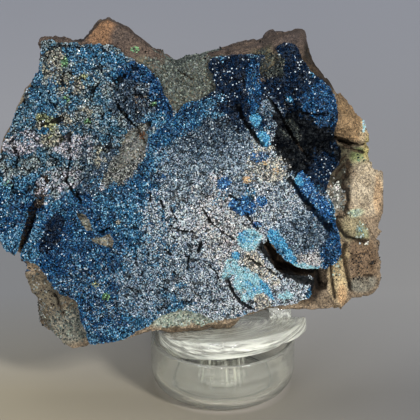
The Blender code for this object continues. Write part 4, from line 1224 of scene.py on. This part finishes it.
def joined_head():
    """The head's shapes made one by adding them to the first."""
    made = []
    for places, faces in head_parts():
        shape = bpy.data.objects.new("head_shape", new_mesh("head_shape", places, faces))
        bpy.context.scene.collection.objects.link(shape)
        made.append(shape)
    for other in made[1:]:
        step = made[0].modifiers.new("add", "BOOLEAN")
        step.operation = "UNION"
        step.object = other
    bpy.context.view_layer.update()
    mesh = bpy.data.meshes.new_from_object(made[0].evaluated_get(bpy.context.evaluated_depsgraph_get()))
    for shape in made:
        bpy.data.objects.remove(shape)
    mesh.shade_smooth()
    mesh.set_sharp_from_angle(angle=math.radians(HEAD_CREASE))
    mesh.materials.clear()
    return mesh


def add_light(name, place, size, power, colour):
    """A soft lamp at a place, looking at the specimen."""
    lamp = bpy.data.lights.new(name, "AREA")
    lamp.shape = "RECTANGLE"
    lamp.size, lamp.size_y = size
    lamp.energy = power
    lamp.color = colour
    holder = bpy.data.objects.new(name, lamp)
    bpy.context.scene.collection.objects.link(holder)
    holder.location = place
    x, y, z = np.array(LAMP_AIM) - np.array(place)
    holder.rotation_euler = (math.atan2(math.hypot(x, y), -z), 0.0, math.atan2(y, x) - math.pi / 2)


class SPECIMEN_crystals(bpy.types.PropertyGroup):
    """Sizes and gloss of the crystals."""

    spacing: FloatProperty(
        name="Crystal spacing", description="Distance between crystals on the main face, in millimetres",
        default=0.275, min=0.2, max=2.0)
    panel_spacing: FloatProperty(
        name="Left panel spacing", description="Distance between crystals on the left panel, in millimetres",
        default=0.31, min=0.2, max=3.0)
    crystal_ior: FloatProperty(
        name="Crystal gloss", description="Refractive index of the crystals", default=1.55, min=1.0, max=2.5)
    spread: FloatProperty(
        name="Tilt", description="How far crystals tip from the face", default=0.48, min=0.0, max=2.0)


class SPECIMEN_stand(bpy.types.PropertyGroup):
    """The stand's plastic and the floor."""

    plastic_tint: FloatVectorProperty(
        name="Plastic tint", description="Colour of the clear plastic", subtype="COLOR",
        default=(0.99, 0.99, 0.92), min=0.0, max=1.0)
    cup_clearness: FloatProperty(
        name="Cup clearness", description="Share of the light that the cup's plastic lets through",
        default=0.93, min=0.0, max=1.0, subtype="FACTOR")
    head_clearness: FloatProperty(
        name="Head clearness", description="Share of the light that the head's plastic lets through",
        default=0.86, min=0.0, max=1.0, subtype="FACTOR")
    # The floor's front colours are painted light and shade: a pool of warm light left of the stand, and
    # shadow right of it
    near_colour: FloatVectorProperty(
        name="Floor front left", description="Floor colour in the warm spot left of the stand",
        default=(0.295, 0.258, 0.185), min=0.0, max=1.0, subtype="COLOR")
    dusk_colour: FloatVectorProperty(
        name="Floor front right", description="Floor colour right of the stand",
        default=(0.152, 0.148, 0.143), min=0.0, max=1.0, subtype="COLOR")
    middle_colour: FloatVectorProperty(
        name="Floor middle", description="Floor colour just behind the stand",
        default=(0.262, 0.258, 0.256), min=0.0, max=1.0, subtype="COLOR")
    far_colour: FloatVectorProperty(
        name="Floor far", description="Floor colour further off",
        default=(0.32, 0.33, 0.38), min=0.0, max=1.0, subtype="COLOR")


def at_right_edge(slab):
    """Which places are on the bare rock right of the crust, where its broken blocks show."""
    return (slab[:, 0] > 22.5) & (slab[:, 2] > -12.0)


class SPECIMEN_OT_rock(bpy.types.Operator):
    """Build the broken rock's surface and its grains"""

    bl_idname = "specimen.rock"
    bl_label = "Rock"

    def execute(self, context):
        places, corners = refined(*merged_copy("matrix_rock"), ROCK_EDGE)
        places, corners = refined(places, corners, RIGHT_EDGE, at_right_edge)
        places = relaxed(places, corners, 2, 0.14)
        slab = to_slab(places)
        out = facing(places, corners)
        ahead = out @ SLAB_AXES[2]
        crack = crack_depth(slab, ROCK_CRACKS) * smooth(ahead, -0.2, 0.3)
        height = high(cloud, slab, *ROCK_WAVES) + high(cloud, slab, *ROCK_GRIT) - ROCK_CRACK_DEPTH * crack
        height += high(terraces, slab, *LARGE_STEPS) + high(terraces, slab, *SMALL_STEPS)
        height += smooth(slab[:, 0], 23.5, 25.5) * high(terraces, slab, *END_BLOCKS)
        height += smooth(-ahead, 0.3, 0.8) * high(terraces, slab, *BACK_FLAKES)
        # Nothing stands out where the slab leans on the prongs
        touch = smooth(-slab[:, 2], 9.0, 9.8) * (1 - smooth(slab[:, 1], 26.0, 30.0))
        places = places + out * (np.where(touch > 0.5, np.minimum(height, 0.0), height) * MM)[:, None]
        mesh = new_mesh("rock_surface", places, corners, ROCK_CREASE)
        slab = to_slab(places)
        u, w = slab[:, 0], slab[:, 1]
        colours = np.array(ROCK_GROUND)
        ragged = 0.3 * cloud(slab, 3.0, 43)
        for *stain, strength in ROCK_STAINS_AND_SHADOWS:
            colour, middle, halves = np.reshape(stain, (3, 3))
            away = np.linalg.norm((slab - middle) / halves, axis=1) + ragged
            colours = colours + (colour - colours) * (strength * (1 - smooth(away, 0.7, 1.3)))[:, None]
        # Random tone, and painted shade that darkens the cracks
        shade = (1 + 0.18 * cloud(slab, 1.6, 47)) * (1 - 0.94 * smooth(crack, 0.0, 0.55))
        note(mesh, "stain", colours * shade[:, None])
        veined = smooth(u, 22.0, 24.0) * smooth(-u, -29.5, -27.0) * smooth(w, 22.0, 26.0)
        veined *= 1 - smooth(w, 37.0, 41.0)
        note(mesh, "streaky", 0.35 + 0.55 * smooth(u, 20.0, 24.0) + 0.9 * veined)
        piece = add_piece("rock_surface", mesh, rock_material())
        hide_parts("matrix_rock")
        front = facing(places, corners)[corners].mean(axis=1) @ SLAB_AXES[2] > -0.1
        front &= to_slab(places[corners].mean(axis=1))[:, 2] > -16.0
        material = crystal_material("rock grains", context.scene.specimen_crystals)
        scatter_crystals("rock_grains", (places, corners), front, GRAIN_ZONES, GRAIN_SPACING,
                         (*FACE_KNOBS, FACE_SHARED), GRAIN_TILT, 303, material, "matrix")
        return {"FINISHED"}


class SPECIMEN_OT_crust(bpy.types.Operator):
    """Build the crust and scatter its crystals"""

    bl_idname = "specimen.crust"
    bl_label = "Crust and crystals"

    def execute(self, context):
        settings = context.scene.specimen_crystals
        bare, corners = refined(*merged_copy("cornetite_crust"), CRUST_EDGE)
        bare = relaxed(bare, corners, 4, 0.22)
        out = facing(bare, corners)
        slab = to_slab(bare)
        panel = on_left_panel(slab) > 0.5
        rng = np.random.default_rng(7)
        colours, _, _, fill = zone_colours(slab, CRUST_ZONES, FACE_KNOBS, FACE_SHARED, rng)
        colours[panel] = zone_colours(slab[panel], PANEL_ZONES, PANEL_KNOBS, PANEL_SHARED, rng)[0]
        places, _, light = raised(bare, out)
        mesh = new_mesh("crust_surface", places, corners)
        # Painted shade on the crust between the crystals: its colours times the fill share, 0.2 on the panel,
        # and times the light of its hollows
        note(mesh, "tint", colours * (np.where(panel, 0.2, fill) * light)[:, None])
        piece = add_piece("crust_surface", mesh, crust_material())
        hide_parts("cornetite_crust")
        front = out[corners].mean(axis=1) @ SLAB_AXES[2] > -0.25
        panel = on_left_panel(to_slab(bare[corners].mean(axis=1))) > 0.5
        material = crystal_material("blue crystals", settings)
        skin, tilt = (bare, corners), settings.spread
        scatter_crystals("crystals_panel", skin, front & panel, PANEL_ZONES, settings.panel_spacing,
                         (*PANEL_KNOBS, PANEL_SHARED), tilt, 101, material, "crust")
        scatter_crystals("crystals_face", skin, front & ~panel, CRUST_ZONES, settings.spacing,
                         (*FACE_KNOBS, FACE_SHARED), tilt, 202, material, "crust")
        return {"FINISHED"}


class SPECIMEN_OT_cup(bpy.types.Operator):
    """Build the stand's clear cup"""

    bl_idname = "specimen.cup"
    bl_label = "Cup"

    def execute(self, context):
        settings = context.scene.specimen_stand
        mesh = new_mesh("clear_cup", *turned(cup_profile(), CUP_STEPS), CUP_CREASE)
        material = plastic_material("clear cup", settings, settings.cup_clearness, 0.08)
        piece = add_piece("clear_cup", mesh, material)
        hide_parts("stand_cup")
        return {"FINISHED"}


class SPECIMEN_OT_head(bpy.types.Operator):
    """Build the stand's clear head"""

    bl_idname = "specimen.head"
    bl_label = "Head"

    def execute(self, context):
        settings = context.scene.specimen_stand
        material = plastic_material("clear head", settings, settings.head_clearness, 0.9)
        piece = add_piece("clear_head", joined_head(), material)
        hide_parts("stand_head")
        return {"FINISHED"}


class SPECIMEN_OT_stage(bpy.types.Operator):
    """Set up the floor, the lamps and the camera"""

    bl_idname = "specimen.stage"
    bl_label = "Stage"

    def execute(self, context):
        scene = context.scene
        bpy.ops.mesh.primitive_circle_add(
            vertices=96, radius=3.0, fill_type="NGON", location=(0.0, 0.0, FLOOR_LEVEL))
        floor = context.object
        floor.name = "floor"
        floor.data.materials.append(floor_material(scene.specimen_stand))
        floor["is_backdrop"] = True
        for name, lamp in LAMPS.items():
            add_light(name, *lamp)
        world = bpy.data.worlds.new("soft room")
        world.use_nodes = True
        sky = world.node_tree.nodes["Background"]
        sky.inputs["Color"].default_value = SKY_COLOUR
        sky.inputs["Strength"].default_value = SKY_STRENGTH
        scene.world = world
        lens = bpy.data.cameras.new("camera")
        lens.lens = CAMERA_LENS
        lens.sensor_width = SENSOR_WIDTH
        lens.clip_start, lens.clip_end = 0.05, 20.0
        camera = bpy.data.objects.new("camera", lens)
        scene.collection.objects.link(camera)
        camera.location = CAMERA_PLACE
        camera.rotation_euler = (math.radians(CAMERA_TILT), 0.0, 0.0)
        scene.camera = camera
        scene.view_settings.view_transform = "Standard"
        return {"FINISHED"}


class SPECIMEN_PT_panel(bpy.types.Panel):
    """The specimen's settings and steps"""

    bl_idname = "SPECIMEN_PT_panel"
    bl_label = "Cornetite specimen"
    bl_space_type = "VIEW_3D"
    bl_region_type = "UI"
    bl_category = "Specimen"

    def draw(self, context):
        for group in (context.scene.specimen_crystals, context.scene.specimen_stand):
            for name in group.bl_rna.properties.keys():
                if name not in ("rna_type", "name"):
                    self.layout.prop(group, name)
        for operator in OPERATORS:
            self.layout.operator(operator.bl_idname)


OPERATORS = (SPECIMEN_OT_rock, SPECIMEN_OT_crust, SPECIMEN_OT_cup, SPECIMEN_OT_head, SPECIMEN_OT_stage)
CLASSES = (SPECIMEN_crystals, SPECIMEN_stand, *OPERATORS, SPECIMEN_PT_panel)


def register():
    for found in CLASSES:
        bpy.utils.register_class(found)
    bpy.types.Scene.specimen_crystals = PointerProperty(type=SPECIMEN_crystals)
    bpy.types.Scene.specimen_stand = PointerProperty(type=SPECIMEN_stand)


def unregister():
    del bpy.types.Scene.specimen_stand
    del bpy.types.Scene.specimen_crystals
    for found in reversed(CLASSES):
        bpy.utils.unregister_class(found)


def main():
    register()
    bpy.ops.specimen.rock()
    bpy.ops.specimen.crust()
    bpy.ops.specimen.cup()
    bpy.ops.specimen.head()
    bpy.ops.specimen.stage()


if __name__ == "__main__":
    main()
